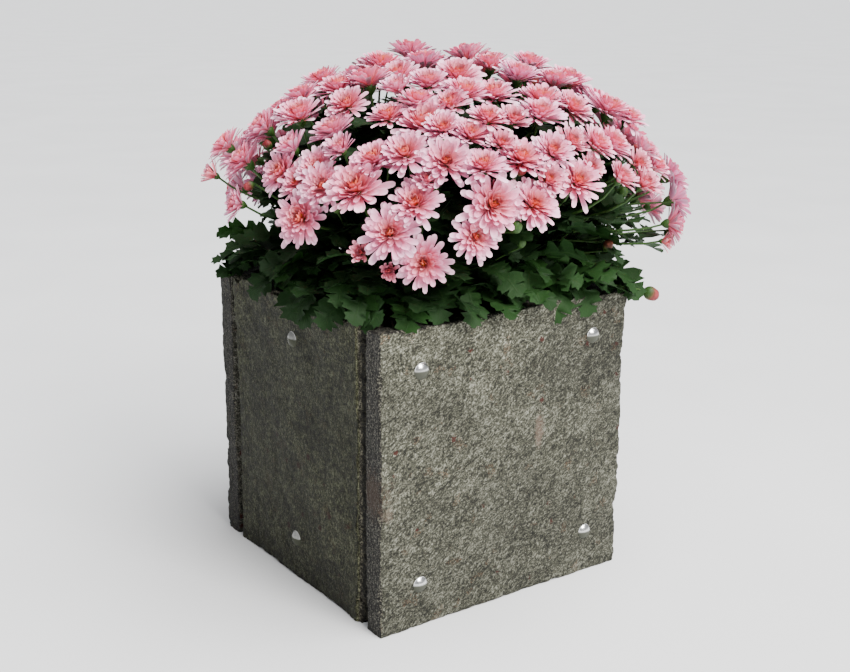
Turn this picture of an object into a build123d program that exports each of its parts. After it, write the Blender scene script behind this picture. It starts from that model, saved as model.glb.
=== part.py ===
from build123d import *
import os
from math import atan2, degrees, radians, tan

# A stone planter box: four rough slabs bolted to flat steel straps, with a perforated steel
# base plate on the two lower straps and a potted chrysanthemum that lifts out of the top.
# Sizes are in millimetres. The origin is the centre of the box's footprint on the ground,
# +X runs along the front slab, -Y is the side that the front slab faces, and +Z is up.

# --- Driving dimensions ---------------------------------------------------------------

# Stone box
BOX_WIDTH = 300.0          # along X, over the front and back slabs
BOX_DEPTH = 310.0          # along Y, over the outer faces of the front and back slabs
BOX_HEIGHT = 300.0
SLAB_THICKNESS = 25.0
JOINT_GAP = 2.5            # open joint between a side slab's end and the slab that covers it
ARRIS = 1.2                # worn edge of a slab

# Cup head bolts with a square neck, washers and hexagon nuts
BOLT_DIAMETER = 6.0
HEAD_DIAMETER = 16.5
HEAD_HEIGHT = 3.9
NECK_SIDE = 6.0
NECK_LENGTH = 4.0
HOLE_CLEARANCE = 3.5       # slab hole over the bolt's diameter
WASHER_DIAMETER = 12.0
WASHER_THICKNESS = 1.6
NUT_ACROSS_FLATS = 10.0
NUT_HEIGHT = 5.0
THREAD_BEYOND_NUT = 3.0
BOLT_ROW_INSET = 44.0      # bolt rows below the slabs' top edge and above their bottom edge
CORNER_BOLT_INSET = 20.5   # corner bolts from the side slab's inner face

# Steel straps and lower rails
STRAP_HEIGHT = 30.0
STRAP_THICKNESS = 3.0
STRAP_BEND_RADIUS = 3.0    # inside of the bend
STRAP_HOLE_CLEARANCE = 0.6
LUG_LENGTH = 38.0          # strap end turned on to the front or back slab
RAIL_FLANGE = 24.0         # inward flange along the top of a lower rail
RAIL_END_CLEARANCE = 10.0  # flange end to the lug

# Base plate
PLATE_THICKNESS = 2.0
PLATE_CLEARANCE = 1.5      # plate edge to the slabs
PLATE_LIP_DEPTH = 12.0     # stiffening lip turned down at the front and back edges
LIP_CLEARANCE = 7.0        # lip end to the lugs
DRAIN_DIAMETER = 10.0
DRAIN_PITCH = 42.0
DRAIN_EDGE = 36.0          # least distance from a drain hole's centre to the plate's edge

# Nursery pot and soil
POT_CLEARANCE = 4.0        # pot rim to the nearest bolt end
POT_RIM_DROP = 39.0        # pot rim below the slabs' top edge
POT_RIM_HEIGHT = 15.0
POT_RIM_STEP = 4.0         # rim band outside the wall
POT_WALL = 2.0
POT_TAPER = 6.0            # wall's lean, in degrees
POT_DRAIN_COUNT = 8
POT_DRAIN_DIAMETER = 10.0
POT_DRAIN_INSET = 22.0     # drain hole circle inside the pot's bottom edge
SOIL_DROP = 12.0           # soil surface below the pot's rim
SOIL_CLEARANCE = 0.3

# Plant
STEM_DIAMETER = 7.0
STEM_COUNT = 8             # round the middle stem
STEM_CIRCLE = 84.0         # diameter
CROWN_LIFT = 8.0           # leaf crown above the pot's rim
CROWN_INSET = 14.0         # leaf crown inside the pot's rim, at its bottom
CROWN_SIDE_CLEARANCE = 15.0
LEAF_LIFT = 3.5            # spreading leaves above the slabs' top edge
LEAF_BASE_DIAMETER = 300.0
LEAF_DEPTH = 41.5          # leaf mound's height
CANOPY_UNDER_DIAMETER = 440.0
CANOPY_DIAMETER = 500.0
CANOPY_BELLY = 42.0        # canopy's widest level above its underside
CANOPY_DOME = 149.0        # canopy's top above its widest level
CANOPY_SHOULDER = 110.0    # radius of its outline above the widest level

# --- Worked out from the driving dimensions --------------------------------------------

side_face = BOX_WIDTH / 2 - SLAB_THICKNESS        # inner face of a side slab, along X
end_face = BOX_DEPTH / 2 - SLAB_THICKNESS         # inner face of the front or back slab, along Y
corner_bolt_x = side_face - CORNER_BOLT_INSET
lower_row = BOLT_ROW_INSET
upper_row = BOX_HEIGHT - BOLT_ROW_INSET
hole_diameter = BOLT_DIAMETER + HOLE_CLEARANCE
bolt_reach = STRAP_THICKNESS + WASHER_THICKNESS + NUT_HEIGHT + THREAD_BEYOND_NUT

plate_bottom = lower_row + STRAP_HEIGHT / 2
plate_top = plate_bottom + PLATE_THICKNESS

pot_rim_top = BOX_HEIGHT - POT_RIM_DROP
pot_height = pot_rim_top - plate_top
pot_rim_radius = min(side_face, end_face) - bolt_reach - POT_CLEARANCE
pot_top_radius = pot_rim_radius - POT_RIM_STEP
pot_base_radius = pot_top_radius - pot_height * tan(radians(POT_TAPER))
soil_top = pot_rim_top - SOIL_DROP

crown_bottom = pot_rim_top + CROWN_LIFT
leaf_bottom = BOX_HEIGHT + LEAF_LIFT
canopy_bottom = leaf_bottom + LEAF_DEPTH


def block(x_range, y_range, z_range):
    """A box between two X, two Y and two Z values."""
    low = [min(r) for r in (x_range, y_range, z_range)]
    size = [abs(r[1] - r[0]) for r in (x_range, y_range, z_range)]
    return Pos(*low) * Box(*size, align=(Align.MIN, Align.MIN, Align.MIN))


def rod(centre, direction, start, end, diameter):
    """A round bar along direction through centre, from start to end along it."""
    bar = Cylinder(diameter / 2, end - start, align=(Align.CENTER, Align.CENTER, Align.MIN))
    return Plane(origin=centre, z_dir=direction) * Pos(0, 0, start) * bar


# --- Slabs -----------------------------------------------------------------------------

def covering_slab(side):
    """The front (side -1) or back (side +1) slab, which covers the ends of the side slabs."""
    outer = side * BOX_DEPTH / 2
    slab = block((-BOX_WIDTH / 2, BOX_WIDTH / 2), (side * end_face, outer), (0, BOX_HEIGHT))
    slab = chamfer(slab.edges(), ARRIS)
    for x in (-corner_bolt_x, corner_bolt_x):
        for z in (lower_row, upper_row):
            slab -= rod((x, side * end_face, z), (0, side, 0), -1, SLAB_THICKNESS + 1, hole_diameter)
    return slab


def side_slab(side):
    """The left (side -1) or right (side +1) slab, between the front and back slabs."""
    end = end_face - JOINT_GAP
    outer = side * BOX_WIDTH / 2
    slab = block((side * side_face, outer), (-end, end), (0, BOX_HEIGHT))
    slab = chamfer(slab.edges(), ARRIS)
    for z in (lower_row, upper_row):
        slab -= rod((side * side_face, 0, z), (side, 0, 0), -1, SLAB_THICKNESS + 1, hole_diameter)
    return slab


# --- Straps and rails ------------------------------------------------------------------

def strap(row):
    """A flat bar along the right side slab, with its ends turned on to the front and back slabs."""
    outer = Pos(side_face - LUG_LENGTH / 2, 0) * Rectangle(LUG_LENGTH, 2 * end_face)
    outer = fillet(outer.vertices().sort_by(Axis.X)[-2:], STRAP_BEND_RADIUS + STRAP_THICKNESS)
    inner = Pos(side_face - STRAP_THICKNESS - LUG_LENGTH / 2, 0) * Rectangle(
        LUG_LENGTH, 2 * (end_face - STRAP_THICKNESS))
    inner = fillet(inner.vertices().sort_by(Axis.X)[-2:], STRAP_BEND_RADIUS)
    bar = Pos(0, 0, row - STRAP_HEIGHT / 2) * extrude(outer - inner, STRAP_HEIGHT)
    strap_hole = BOLT_DIAMETER + STRAP_HOLE_CLEARANCE
    bar -= rod((side_face, 0, row), (-1, 0, 0), -1, STRAP_THICKNESS + 1, strap_hole)
    for end in (-1, 1):
        lug = (corner_bolt_x, end * end_face, row)
        bar -= rod(lug, (0, -end, 0), -1, STRAP_THICKNESS + 1, strap_hole)
    return bar


def rail():
    """The right lower strap, with an inward flange along its top that carries the base plate."""
    web_face = side_face - STRAP_THICKNESS
    flange_end = end_face - STRAP_THICKNESS - RAIL_END_CLEARANCE
    flange = block((web_face - RAIL_FLANGE, web_face), (-flange_end, flange_end),
                   (plate_bottom - STRAP_THICKNESS, plate_bottom))
    return strap(lower_row) + flange


def other_side(piece):
    """The same piece for the left side of the box."""
    return mirror(piece, Plane.YZ)


# --- Base plate ------------------------------------------------------------------------

def drain_places(width):
    """Evenly pitched hole positions, centred across a width, each DRAIN_EDGE or more from its ends."""
    count = int((width - 2 * DRAIN_EDGE) // DRAIN_PITCH) + 1
    return [(i - (count - 1) / 2) * DRAIN_PITCH for i in range(count)]


def base_plate():
    """The perforated plate on the two rails, with a lip turned down at the front and back."""
    half_width = side_face - PLATE_CLEARANCE
    half_depth = end_face - PLATE_CLEARANCE
    plate = block((-half_width, half_width), (-half_depth, half_depth), (plate_bottom, plate_top))
    lip_end = side_face - LUG_LENGTH - LIP_CLEARANCE
    for side in (-1, 1):
        plate += block((-lip_end, lip_end), (side * (half_depth - PLATE_THICKNESS), side * half_depth),
                       (plate_bottom - PLATE_LIP_DEPTH, plate_bottom))
    for x in drain_places(2 * half_width):
        for y in drain_places(2 * half_depth):
            plate -= rod((x, y, plate_bottom), (0, 0, 1), -1, PLATE_THICKNESS + 1, DRAIN_DIAMETER)
    return plate


# --- Fasteners, each built from the slab's outer face inward along +Z --------------------

def bolt():
    """A cup head bolt with its head's flat underside at Z = 0."""
    length = SLAB_THICKNESS + bolt_reach
    rim = HEAD_DIAMETER / 2
    sphere = (rim ** 2 + HEAD_HEIGHT ** 2) / (2 * HEAD_HEIGHT)
    head = Pos(0, 0, sphere - HEAD_HEIGHT) * Sphere(sphere)
    head &= Pos(0, 0, -HEAD_HEIGHT / 2) * Box(2 * HEAD_DIAMETER, 2 * HEAD_DIAMETER, HEAD_HEIGHT)
    neck = extrude(Rectangle(NECK_SIDE, NECK_SIDE), NECK_LENGTH)
    shank = extrude(Circle(BOLT_DIAMETER / 2), length)
    tip = shank.edges().filter_by(GeomType.CIRCLE).sort_by(Axis.Z)[-1]
    return head + neck + chamfer(tip, BOLT_DIAMETER / 8)


def washer():
    """A washer on the strap's inner face."""
    start = SLAB_THICKNESS + STRAP_THICKNESS
    ring = Circle(WASHER_DIAMETER / 2) - Circle(BOLT_DIAMETER / 2)
    return Pos(0, 0, start) * extrude(ring, WASHER_THICKNESS)


def nut():
    """A hexagon nut on the washer."""
    start = SLAB_THICKNESS + STRAP_THICKNESS + WASHER_THICKNESS
    hexagon = RegularPolygon(NUT_ACROSS_FLATS / 2, 6, major_radius=False)
    return Pos(0, 0, start) * extrude(hexagon - Circle(BOLT_DIAMETER / 2), NUT_HEIGHT)


def covering_slab_places(side):
    """Where the four bolts enter the front (side -1) or back (side +1) slab."""
    return [Plane(origin=(x, side * BOX_DEPTH / 2, z), z_dir=(0, -side, 0))
            for x in (-corner_bolt_x, corner_bolt_x) for z in (lower_row, upper_row)]


def side_slab_places(side):
    """Where the two bolts enter the left (side -1) or right (side +1) slab."""
    return [Plane(origin=(side * BOX_WIDTH / 2, 0, z), z_dir=(-side, 0, 0))
            for z in (lower_row, upper_row)]


def group(piece, places):
    """Separate copies of one piece, one at each place."""
    return Compound([(place * piece).solid() for place in places])


# --- Nursery pot, soil and plant ---------------------------------------------------------

def turned(points):
    """A solid turned about Z from an outline of (radius, height) points."""
    outline = Polyline(*points, close=True)
    return revolve(Plane.XZ * make_face(outline), Axis.Z, 360)


def nursery_pot():
    """A tapered pot with a deep rim band, a thin wall and drain holes in its floor."""
    lean = tan(radians(POT_TAPER))
    rim_bottom = pot_rim_top - POT_RIM_HEIGHT
    wall_at_rim = pot_top_radius - POT_RIM_HEIGHT * lean
    pot = turned([
        (0, plate_top),
        (pot_base_radius, plate_top),
        (wall_at_rim, rim_bottom),
        (pot_rim_radius, rim_bottom),
        (pot_rim_radius, pot_rim_top),
        (pot_top_radius - POT_WALL, pot_rim_top),
        (pot_base_radius - POT_WALL + POT_WALL * lean, plate_top + POT_WALL),
        (0, plate_top + POT_WALL),
    ])
    circle = pot_base_radius - POT_DRAIN_INSET
    for place in PolarLocations(circle, POT_DRAIN_COUNT):
        drain = Cylinder(POT_DRAIN_DIAMETER / 2, 4 * POT_WALL)
        pot -= Pos(0, 0, plate_top) * place * drain
    return pot


def potting_soil():
    """The soil in the pot, just clear of its wall."""
    lean = tan(radians(POT_TAPER))
    floor = plate_top + POT_WALL
    gap = POT_WALL + SOIL_CLEARANCE
    floor_radius = pot_base_radius + POT_WALL * lean - gap
    top_radius = pot_top_radius - SOIL_DROP * lean - gap
    return turned([(0, floor), (floor_radius, floor), (top_radius, soil_top), (0, soil_top)])


def stem_cluster():
    """The stems between the soil and the leaf crown: one in the middle and the rest round it."""
    height = crown_bottom - soil_top
    stem = Cylinder(STEM_DIAMETER / 2, height, align=(Align.CENTER, Align.CENTER, Align.MIN))
    places = [Location((0, 0, 0))] + list(PolarLocations(STEM_CIRCLE / 2, STEM_COUNT))
    return Compound([(Pos(0, 0, soil_top) * place * stem).solid() for place in places])


def leaf_crown():
    """The leaves inside the box's mouth."""
    bottom_radius = pot_rim_radius - CROWN_INSET
    top_radius = min(side_face, end_face) - CROWN_SIDE_CLEARANCE
    return turned([(0, crown_bottom), (bottom_radius, crown_bottom),
                   (top_radius, leaf_bottom), (0, leaf_bottom)])


def leaf_mound():
    """The leaves that spread over the slabs' top edges, up to the underside of the blooms."""
    return turned([(0, leaf_bottom), (LEAF_BASE_DIAMETER / 2, leaf_bottom),
                   (CANOPY_UNDER_DIAMETER / 2, canopy_bottom), (0, canopy_bottom)])


def bloom_canopy():
    """The dome of blooms, as the closed solid of its outer shape: a shoulder arc from the widest
    level, and a flatter arc, tangent to it, over the top."""
    belly = canopy_bottom + CANOPY_BELLY
    radius = CANOPY_DIAMETER / 2
    crown_arc = (radius ** 2 - 2 * radius * CANOPY_SHOULDER + CANOPY_DOME ** 2) / (
        2 * (CANOPY_DOME - CANOPY_SHOULDER))
    turn = degrees(atan2(crown_arc - CANOPY_DOME, radius - CANOPY_SHOULDER))
    shoulder = JernArc((radius, belly), (0, 1), CANOPY_SHOULDER, turn)
    crown = JernArc(shoulder @ 1, shoulder % 1, crown_arc, 90 - turn)
    sides = Polyline(crown @ 1, (0, canopy_bottom), (CANOPY_UNDER_DIAMETER / 2, canopy_bottom),
                     (radius, belly))
    outline = make_face(sides + shoulder + crown)
    return revolve(Plane.XZ * outline, Axis.Z, 360)


# --- All nodes -------------------------------------------------------------------------

parts = {
    "front_slab": covering_slab(-1),
    "back_slab": covering_slab(1),
    "left_slab": side_slab(-1),
    "right_slab": side_slab(1),
    "left_upper_strap": other_side(strap(upper_row)),
    "right_upper_strap": strap(upper_row),
    "left_lower_rail": other_side(rail()),
    "right_lower_rail": rail(),
    "base_plate": base_plate(),
    "nursery_pot": nursery_pot(),
    "potting_soil": potting_soil(),
    "stem_cluster": stem_cluster(),
    "leaf_crown": leaf_crown(),
    "leaf_mound": leaf_mound(),
    "bloom_canopy": bloom_canopy(),
}
panels = {
    "front": covering_slab_places(-1),
    "back": covering_slab_places(1),
    "left": side_slab_places(-1),
    "right": side_slab_places(1),
}
for panel, places in panels.items():
    parts[panel + "_bolts"] = group(bolt(), places)
    parts[panel + "_washers"] = group(washer(), places)
    parts[panel + "_nuts"] = group(nut(), places)

os.makedirs("parts", exist_ok=True)
for name, piece in parts.items():
    export_step(piece, f"parts/{name}.step")
print("nodes:", len(parts))
print("pot: rim diameter %.1f, base diameter %.1f, height %.1f"
      % (2 * pot_rim_radius, 2 * pot_base_radius, pot_height))
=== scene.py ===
# %% [markdown]
# # A stone planter box with a potted chrysanthemum
# Four rough slabs of schist stand on edge, bolted to flat steel straps that nobody sees. A pot of
# chrysanthemums stands inside on a steel plate, and its dome of pink blooms hides the box's mouth.
# The lesson builds the stone first, then the metal, then the plant, and each piece takes its place
# from the imported model. The first cell loads that model and keeps its parts.

import math
from itertools import product

import bpy
import numpy as np
from mathutils import Matrix, Vector


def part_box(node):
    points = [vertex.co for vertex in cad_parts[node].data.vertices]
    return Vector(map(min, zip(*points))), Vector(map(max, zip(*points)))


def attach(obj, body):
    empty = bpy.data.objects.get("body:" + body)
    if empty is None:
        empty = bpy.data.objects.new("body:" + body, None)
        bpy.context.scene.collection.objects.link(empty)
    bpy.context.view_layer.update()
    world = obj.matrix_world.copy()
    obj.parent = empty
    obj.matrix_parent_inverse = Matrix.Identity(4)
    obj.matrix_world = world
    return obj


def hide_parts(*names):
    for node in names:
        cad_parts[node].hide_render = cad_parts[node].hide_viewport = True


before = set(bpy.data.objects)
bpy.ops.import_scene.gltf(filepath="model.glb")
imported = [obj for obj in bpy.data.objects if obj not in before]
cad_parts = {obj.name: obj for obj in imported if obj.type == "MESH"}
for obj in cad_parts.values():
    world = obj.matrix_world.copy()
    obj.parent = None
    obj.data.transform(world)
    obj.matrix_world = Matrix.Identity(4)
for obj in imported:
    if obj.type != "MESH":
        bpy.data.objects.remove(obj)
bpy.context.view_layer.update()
MM = 0.001
GOLDEN_TURN = math.pi * (3 - math.sqrt(5))

# %% [markdown]
# ## The camera
# The planter is seen from a little above, past its front left corner. A camera can be set by typing
# three rotations, but a target, two angles and a distance say the same thing in words that a
# photographer uses. The tiny roll is the tilt of a hand-held camera.

# %% Camera
TARGET = Vector((0.0065, -0.0047, 0.2356))
AZIMUTH, ELEVATION, ROLL = math.radians(-35.655), math.radians(15.981), math.radians(-0.44)
DISTANCE = 1.3121
LENS, SENSOR = 52.96, 36.0


def in_scene(name, data):
    """A new object at the origin, linked to the scene."""
    made = bpy.data.objects.new(name, data)
    bpy.context.scene.collection.objects.link(made)
    return made


back = Vector((math.sin(AZIMUTH) * math.cos(ELEVATION),
               -math.cos(AZIMUTH) * math.cos(ELEVATION),
               math.sin(ELEVATION)))
camera_data = bpy.data.cameras.new("camera")
camera_data.lens, camera_data.sensor_width = LENS, SENSOR
camera = in_scene("camera", camera_data)
turn = (-back).to_track_quat("-Z", "Y").to_matrix() @ Matrix.Rotation(-ROLL, 3, "Z")
camera.matrix_world = Matrix.Translation(TARGET + back * DISTANCE) @ turn.to_4x4()
bpy.context.scene.camera = camera
print("camera at", [round(v, 3) for v in camera.location])

# %% [markdown]
# ## Building a mesh from arrays
# Every new piece is worked out as a numpy array of points in millimetres. Blender could take the
# points one by one, but foreach_set hands over the whole array at once, which is hundreds of times
# faster. Named attributes travel with the points, so that a material can follow the surface, for
# example from a petal's base to its tip.

# %% Mesh helpers
def new_piece(name, points, faces, material, body, stands_for, masks=None, uv=None):
    """Makes a smooth-shaded mesh object from points (mm) and faces of three or four corners.

    masks: name -> one number per point. uv: two numbers per point.
    """
    mesh = bpy.data.meshes.new(name)
    corners = faces.shape[1]
    mesh.vertices.add(len(points))
    mesh.vertices.foreach_set("co", (points * MM).astype(np.float32).ravel())
    mesh.loops.add(faces.size)
    mesh.loops.foreach_set("vertex_index", faces.astype(np.int32).ravel())
    mesh.polygons.add(len(faces))
    mesh.polygons.foreach_set("loop_start", np.arange(0, faces.size, corners, dtype=np.int32))
    mesh.polygons.foreach_set("use_smooth", np.ones(len(faces), dtype=bool))
    for key, values in (masks or {}).items():
        attribute = mesh.attributes.new(key, "FLOAT", "POINT")
        attribute.data.foreach_set("value", values.astype(np.float32).ravel())
    if uv is not None:
        layer = mesh.uv_layers.new(name="surface")
        layer.data.foreach_set("uv", uv[faces.ravel()].astype(np.float32).ravel())
    mesh.update(calc_edges=True)
    mesh.validate()
    mesh.materials.append(material)
    piece = in_scene(name, mesh)
    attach(piece, body)
    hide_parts(*stands_for)
    print(f"{name}: {len(points)} points, {len(faces) * (corners - 2)} triangles")


def grid_faces(count, rows, columns, closed=False):
    """Four-cornered faces of `count` separate grids of rows x columns points.

    A closed grid joins its last column to its first, as round a tube.
    """
    wide = columns if closed else columns - 1
    row, column = np.meshgrid(np.arange(rows - 1), np.arange(wide), indexing="ij")
    following = (column + 1) % columns
    ring = np.stack([row * columns + column, row * columns + following,
                     (row + 1) * columns + following, (row + 1) * columns + column], axis=-1)
    first = np.arange(count)[:, None, None] * rows * columns
    return (ring.reshape(1, -1, 4) + first).reshape(-1, 4)


def unit(vectors):
    """The same directions at length 1."""
    return vectors / np.maximum(np.linalg.norm(vectors, axis=-1, keepdims=True), 1e-9)


# %% [markdown]
# ## Noise as arrays
# Broken stone, leaves and soil need a noise that is smooth, repeatable and the same on every run.
# Blender's own noise function takes one point at a time. Here a random value is worked out for each
# corner of a cubic lattice from its whole-number place, and blended across the cell, for all points
# at once.

# %% Noise
def smooth_noise(points, seed):
    """Values from -1 to 1: random values at lattice corners, blended by a fifth-power curve."""
    cell = np.floor(points).astype(np.int64)
    share = points - cell
    share = share ** 3 * (share * (share * 6 - 15) + 10)
    total = np.zeros(points.shape[:-1])
    for corner in product((0, 1), repeat=3):
        place = cell + corner
        mixed = (place[..., 0] * 73856093) ^ (place[..., 1] * 19349663) ^ (place[..., 2] * 83492791)
        mixed = (mixed ^ (seed * 668265263)) & 0x7FFFFFFF
        mixed = ((mixed ^ (mixed >> 15)) * 1274126177) & 0x7FFFFFFF
        mixed = ((mixed ^ (mixed >> 13)) * 1103515245) & 0x7FFFFFFF
        value = (mixed ^ (mixed >> 16)) / 0x3FFFFFFF - 1
        weight = np.prod(np.where(corner, share, 1 - share), axis=-1)
        total += value * weight
    return total


def layered_noise(points, seed, layers=3, gain=0.5):
    """The sum of noises, each twice as fine and `gain` times as strong as the one before."""
    return sum(gain ** i * smooth_noise(points * 2 ** i, seed + i) for i in range(layers))


def ease(low, high, values):
    """0 below low, 1 above high, and a smooth step between."""
    share = np.clip((values - low) / (high - low), 0, 1)
    return share * share * (3 - 2 * share)


# %% [markdown]
# ## The slabs
# Schist splits along its layers, so a slab has two cleft faces that are almost flat, with shallow
# terraces where the split jumped from layer to layer, and ends that were broken off with a hammer,
# which wander by a few millimetres and have chipped corners. A cube with a displacement modifier
# would tear at its corners. Instead, one lattice wraps all six sides of the slab, with its lines
# packed more closely near the edges, and each point is moved by what its place calls for.

# %% Slab lattice
def wrapped_lattice(across, up, through):
    """The shared points and outward faces of a box of across x up x through cells.

    Returns whole-number lattice places, and faces that index them.
    """
    cells = (across, up, through)
    sides = []
    for axis, (first, second) in enumerate(((1, 2), (2, 0), (0, 1))):
        i, j = np.meshgrid(np.arange(cells[first]), np.arange(cells[second]), indexing="ij")
        for end in (0, cells[axis]):
            ring = [(0, 0), (1, 0), (1, 1), (0, 1)]
            corners = np.zeros(i.shape + (4, 3), dtype=np.int64)
            for k, (step_i, step_j) in enumerate(ring if end else ring[::-1]):
                corners[..., k, axis] = end
                corners[..., k, first] = i + step_i
                corners[..., k, second] = j + step_j
            sides.append(corners.reshape(-1, 3))
    places = np.concatenate(sides)
    key = (places[:, 0] * (up + 1) + places[:, 1]) * (through + 1) + places[:, 2]
    _, kept, index = np.unique(key, return_index=True, return_inverse=True)
    return places[kept], index.reshape(-1, 4)


def packed_lines(length, cells, packing=0.5):
    """Line positions from 0 to length, closer at both ends: s minus a share of sin(2 pi s)."""
    share = np.arange(cells + 1) / cells
    return length * (share - packing * np.sin(2 * np.pi * share) / (2 * np.pi))


# %% [markdown]
# Five effects shape a slab. `wander` pulls the outline in by an uneven amount, more at the top than
# at the sides, and fades away from the edge. A slant cuts the ends of a side slab back, so that its
# joints open outward. `chip_width` sets a bevel that changes along the arris, with a deeper bite
# here and there. `terraces` turns a slow noise into plateaus. Last, the outer face stays at its
# true height round each bolt, because a bolt head needs a flat seat.

# %% Slab shape
FACE_CELLS, THICKNESS_CELLS = 190, 14
FADE = 17.0                 # how far in from an edge its wandering is felt, mm
SEAT_RADIUS = 13.0          # flat stone round a bolt head, mm
ARRIS = 1.1                 # the least bevel on an edge, mm
INNER_WEAR = 0.5            # share of the outer arrises' wear that the inner ones have
FOOT_WEAR = 0.5             # share of the other edges' wear that the bottom ones have


def terraces(height, step):
    """Plateaus: the whole part of height, plus a steep rise over the last fifth of each step."""
    whole = np.floor(height)
    return step * (whole + ease(0.8, 1.0, height - whole))


def chip_width(along, seed):
    """Bevel width along an edge (mm): a thin worn arris, and bites where two noises are high."""
    line = np.stack([along / 16, along * 0, along * 0 + 0.5], axis=-1)
    bites = np.clip(smooth_noise(line, seed) - 0.2, 0, 1) * 7
    nicks = np.clip(smooth_noise(line * 3.1, seed + 1) - 0.15, 0, 1) * 3.5
    return ARRIS + bites + nicks


def shaped_slab(size, seats, seed, relief, top_wander, side_wander, blunt, slant=0.0):
    """Points, faces and masks of one slab.

    size: across, up, through (mm), with across measured from the middle, up from the ground and
    through from the inner face. seats: (across, up) of each bolt. relief: step of the terraces (mm).
    top_wander, side_wander: how unevenly the edges run (mm). blunt: how much wider (mm) the bevel is
    on the outer arris at each side. slant: how far (mm) the ends are cut back at the outer face.
    """
    width, height, thickness = size
    places, faces = wrapped_lattice(FACE_CELLS, FACE_CELLS, THICKNESS_CELLS)
    across = (packed_lines(width, FACE_CELLS) - width / 2)[places[:, 0]]
    up = packed_lines(height, FACE_CELLS)[places[:, 1]]
    through = np.linspace(0, thickness, THICKNESS_CELLS + 1)[places[:, 2]]
    here = np.stack([across, up, through], axis=-1)

    to_side, to_top, to_foot = width / 2 - np.abs(across), height - up, up
    side = np.sign(across)
    side_line = np.stack([up, side * 50, through * 1.6], axis=-1)
    top_line = np.stack([across, across * 0 + 90, through * 1.6], axis=-1)

    def wander(line, amount, offset):
        slow = 1 + smooth_noise(line / 62, seed + offset)
        middle = 1 + smooth_noise(line / 17, seed + offset + 1)
        fine = layered_noise(line / 5.5, seed + offset + 2, 2)
        return amount * (0.52 * slow + 0.26 * middle) + 0.45 * fine

    pull_side = wander(side_line, side_wander, 10) + slant * through / thickness
    pull_side *= np.exp(-(to_side / FADE) ** 2)
    pull_top = wander(top_line, top_wander, 20) * np.exp(-(to_top / FADE) ** 2)
    pull_foot = 0.35 * np.abs(layered_noise(top_line / 9, seed + 30, 2)) * np.exp(-(to_foot / 4) ** 2)

    to_outer, to_inner = thickness - through, through
    rough = 1 + 0.35 * smooth_noise(here / 3.0, seed + 40)
    bevels = np.zeros(len(here))
    moved = np.zeros_like(here)
    edges = ((to_side, up, 0, side), (to_top, across, 1, 1.0), (to_foot, across, 1, -1.0))
    for number, (to_edge, along, axis, sign) in enumerate(edges):
        for to_face, face_sign in ((to_outer, 1), (to_inner, -1)):
            worn = chip_width(along + side * 300 * (number == 0), seed + 50 + 3 * number + face_sign)
            worn = worn * (1 if face_sign == 1 else INNER_WEAR)
            if number == 0 and face_sign == 1:
                worn = worn + np.where(side > 0, blunt[1], blunt[0])
                into_joint = (to_outer - to_side) / worn
            bevel = worn * rough * (FOOT_WEAR if number == 2 else 1)
            cut = np.clip(bevel - to_edge - to_face, 0, None)
            moved[:, axis] -= sign * cut / 2
            moved[:, 2] -= face_sign * cut / 2
            bevels = np.maximum(bevels, cut / worn)
    corner = np.clip(chip_width(up, seed + 60) * 1.4 - to_side - to_top, 0, None)
    moved[:, 0] -= side * corner / 2
    moved[:, 1] -= corner / 2

    face_line = np.stack([across, up, np.where(through > thickness / 2, 0, 200.0)], axis=-1)
    slow = layered_noise(face_line / 75, seed + 70, 3)
    split = terraces(slow * 3.2 + 0.4 * smooth_noise(face_line / 12, seed + 75), relief)
    grain = relief * 0.34 * layered_noise(face_line / 6.5, seed + 80, 2)
    cleft = relief * 0.9 * slow + 0.55 * split + grain
    seat = np.ones(len(here))
    for seat_across, seat_up in seats:
        reach = np.hypot(across - seat_across, up - seat_up)
        seat *= ease(SEAT_RADIUS * 0.7, SEAT_RADIUS * 2.2, reach)
    depth = through / thickness
    outward = cleft * seat * depth ** 2
    inward = np.abs(cleft) * seat * 0.6 * (1 - depth) ** 2

    here[:, 0] -= side * pull_side
    here[:, 1] += pull_foot - pull_top
    here[:, 2] += outward + inward
    here += moved
    broken_end = np.minimum(np.minimum(to_side, to_top), to_foot) < 0.01
    masks = {
        "end_face": np.maximum(broken_end * 1.0, np.clip(bevels, 0, 1)),
        "bevel": np.clip(bevels * 1.6, 0, 1),
        "relief": np.clip(0.5 + 0.5 * cleft / max(relief, 1e-6) / 1.6, 0, 1),
        "into_joint": np.clip(0.5 + 0.5 * into_joint, 0, 1),
    }
    return here, faces, masks


# %% [markdown]
# ## Node helpers
# A material is a graph of nodes. Built through the interface, it is a long list of clicks, and
# through the API a long list of lines. Here it reads like a sum. A `Wire` is one output of a node,
# and adding, subtracting or multiplying wires puts in the Math node that does so. `add` puts in any
# other node, and `ramp` and `mix` turn values into colours.

# %% Node helpers
def operator(name, swapped=False):
    """A method that joins a wire and a wire or number by a Math node."""
    def method(self, other):
        return maths(name, *((other, self) if swapped else (self, other)))
    return method


class Wire:
    """One output of a node, which can be added, subtracted and multiplied like a number."""
    __add__ = __radd__ = operator("ADD")
    __mul__ = __rmul__ = operator("MULTIPLY")
    __sub__, __rsub__ = operator("SUBTRACT"), operator("SUBTRACT", swapped=True)

    def __init__(self, socket):
        self.socket, self.tree = socket, socket.id_data


def tree_of(*values):
    """The node tree of the first wire among the values."""
    return next(value.tree for value in values if isinstance(value, Wire))


def plug(entry, value):
    """Links a wire to a node's input. Any other value stays on the input."""
    if isinstance(value, Wire):
        value.tree.links.new(value.socket, entry)
    else:
        entry.default_value = value


def new_node(tree, kind, inputs=None, **settings):
    """Adds a node with its settings and inputs."""
    made = tree.nodes.new(kind)
    for key, value in settings.items():
        setattr(made, key, value)
    for key, value in (inputs or {}).items():
        plug(made.inputs[key], value)
    return made


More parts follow.
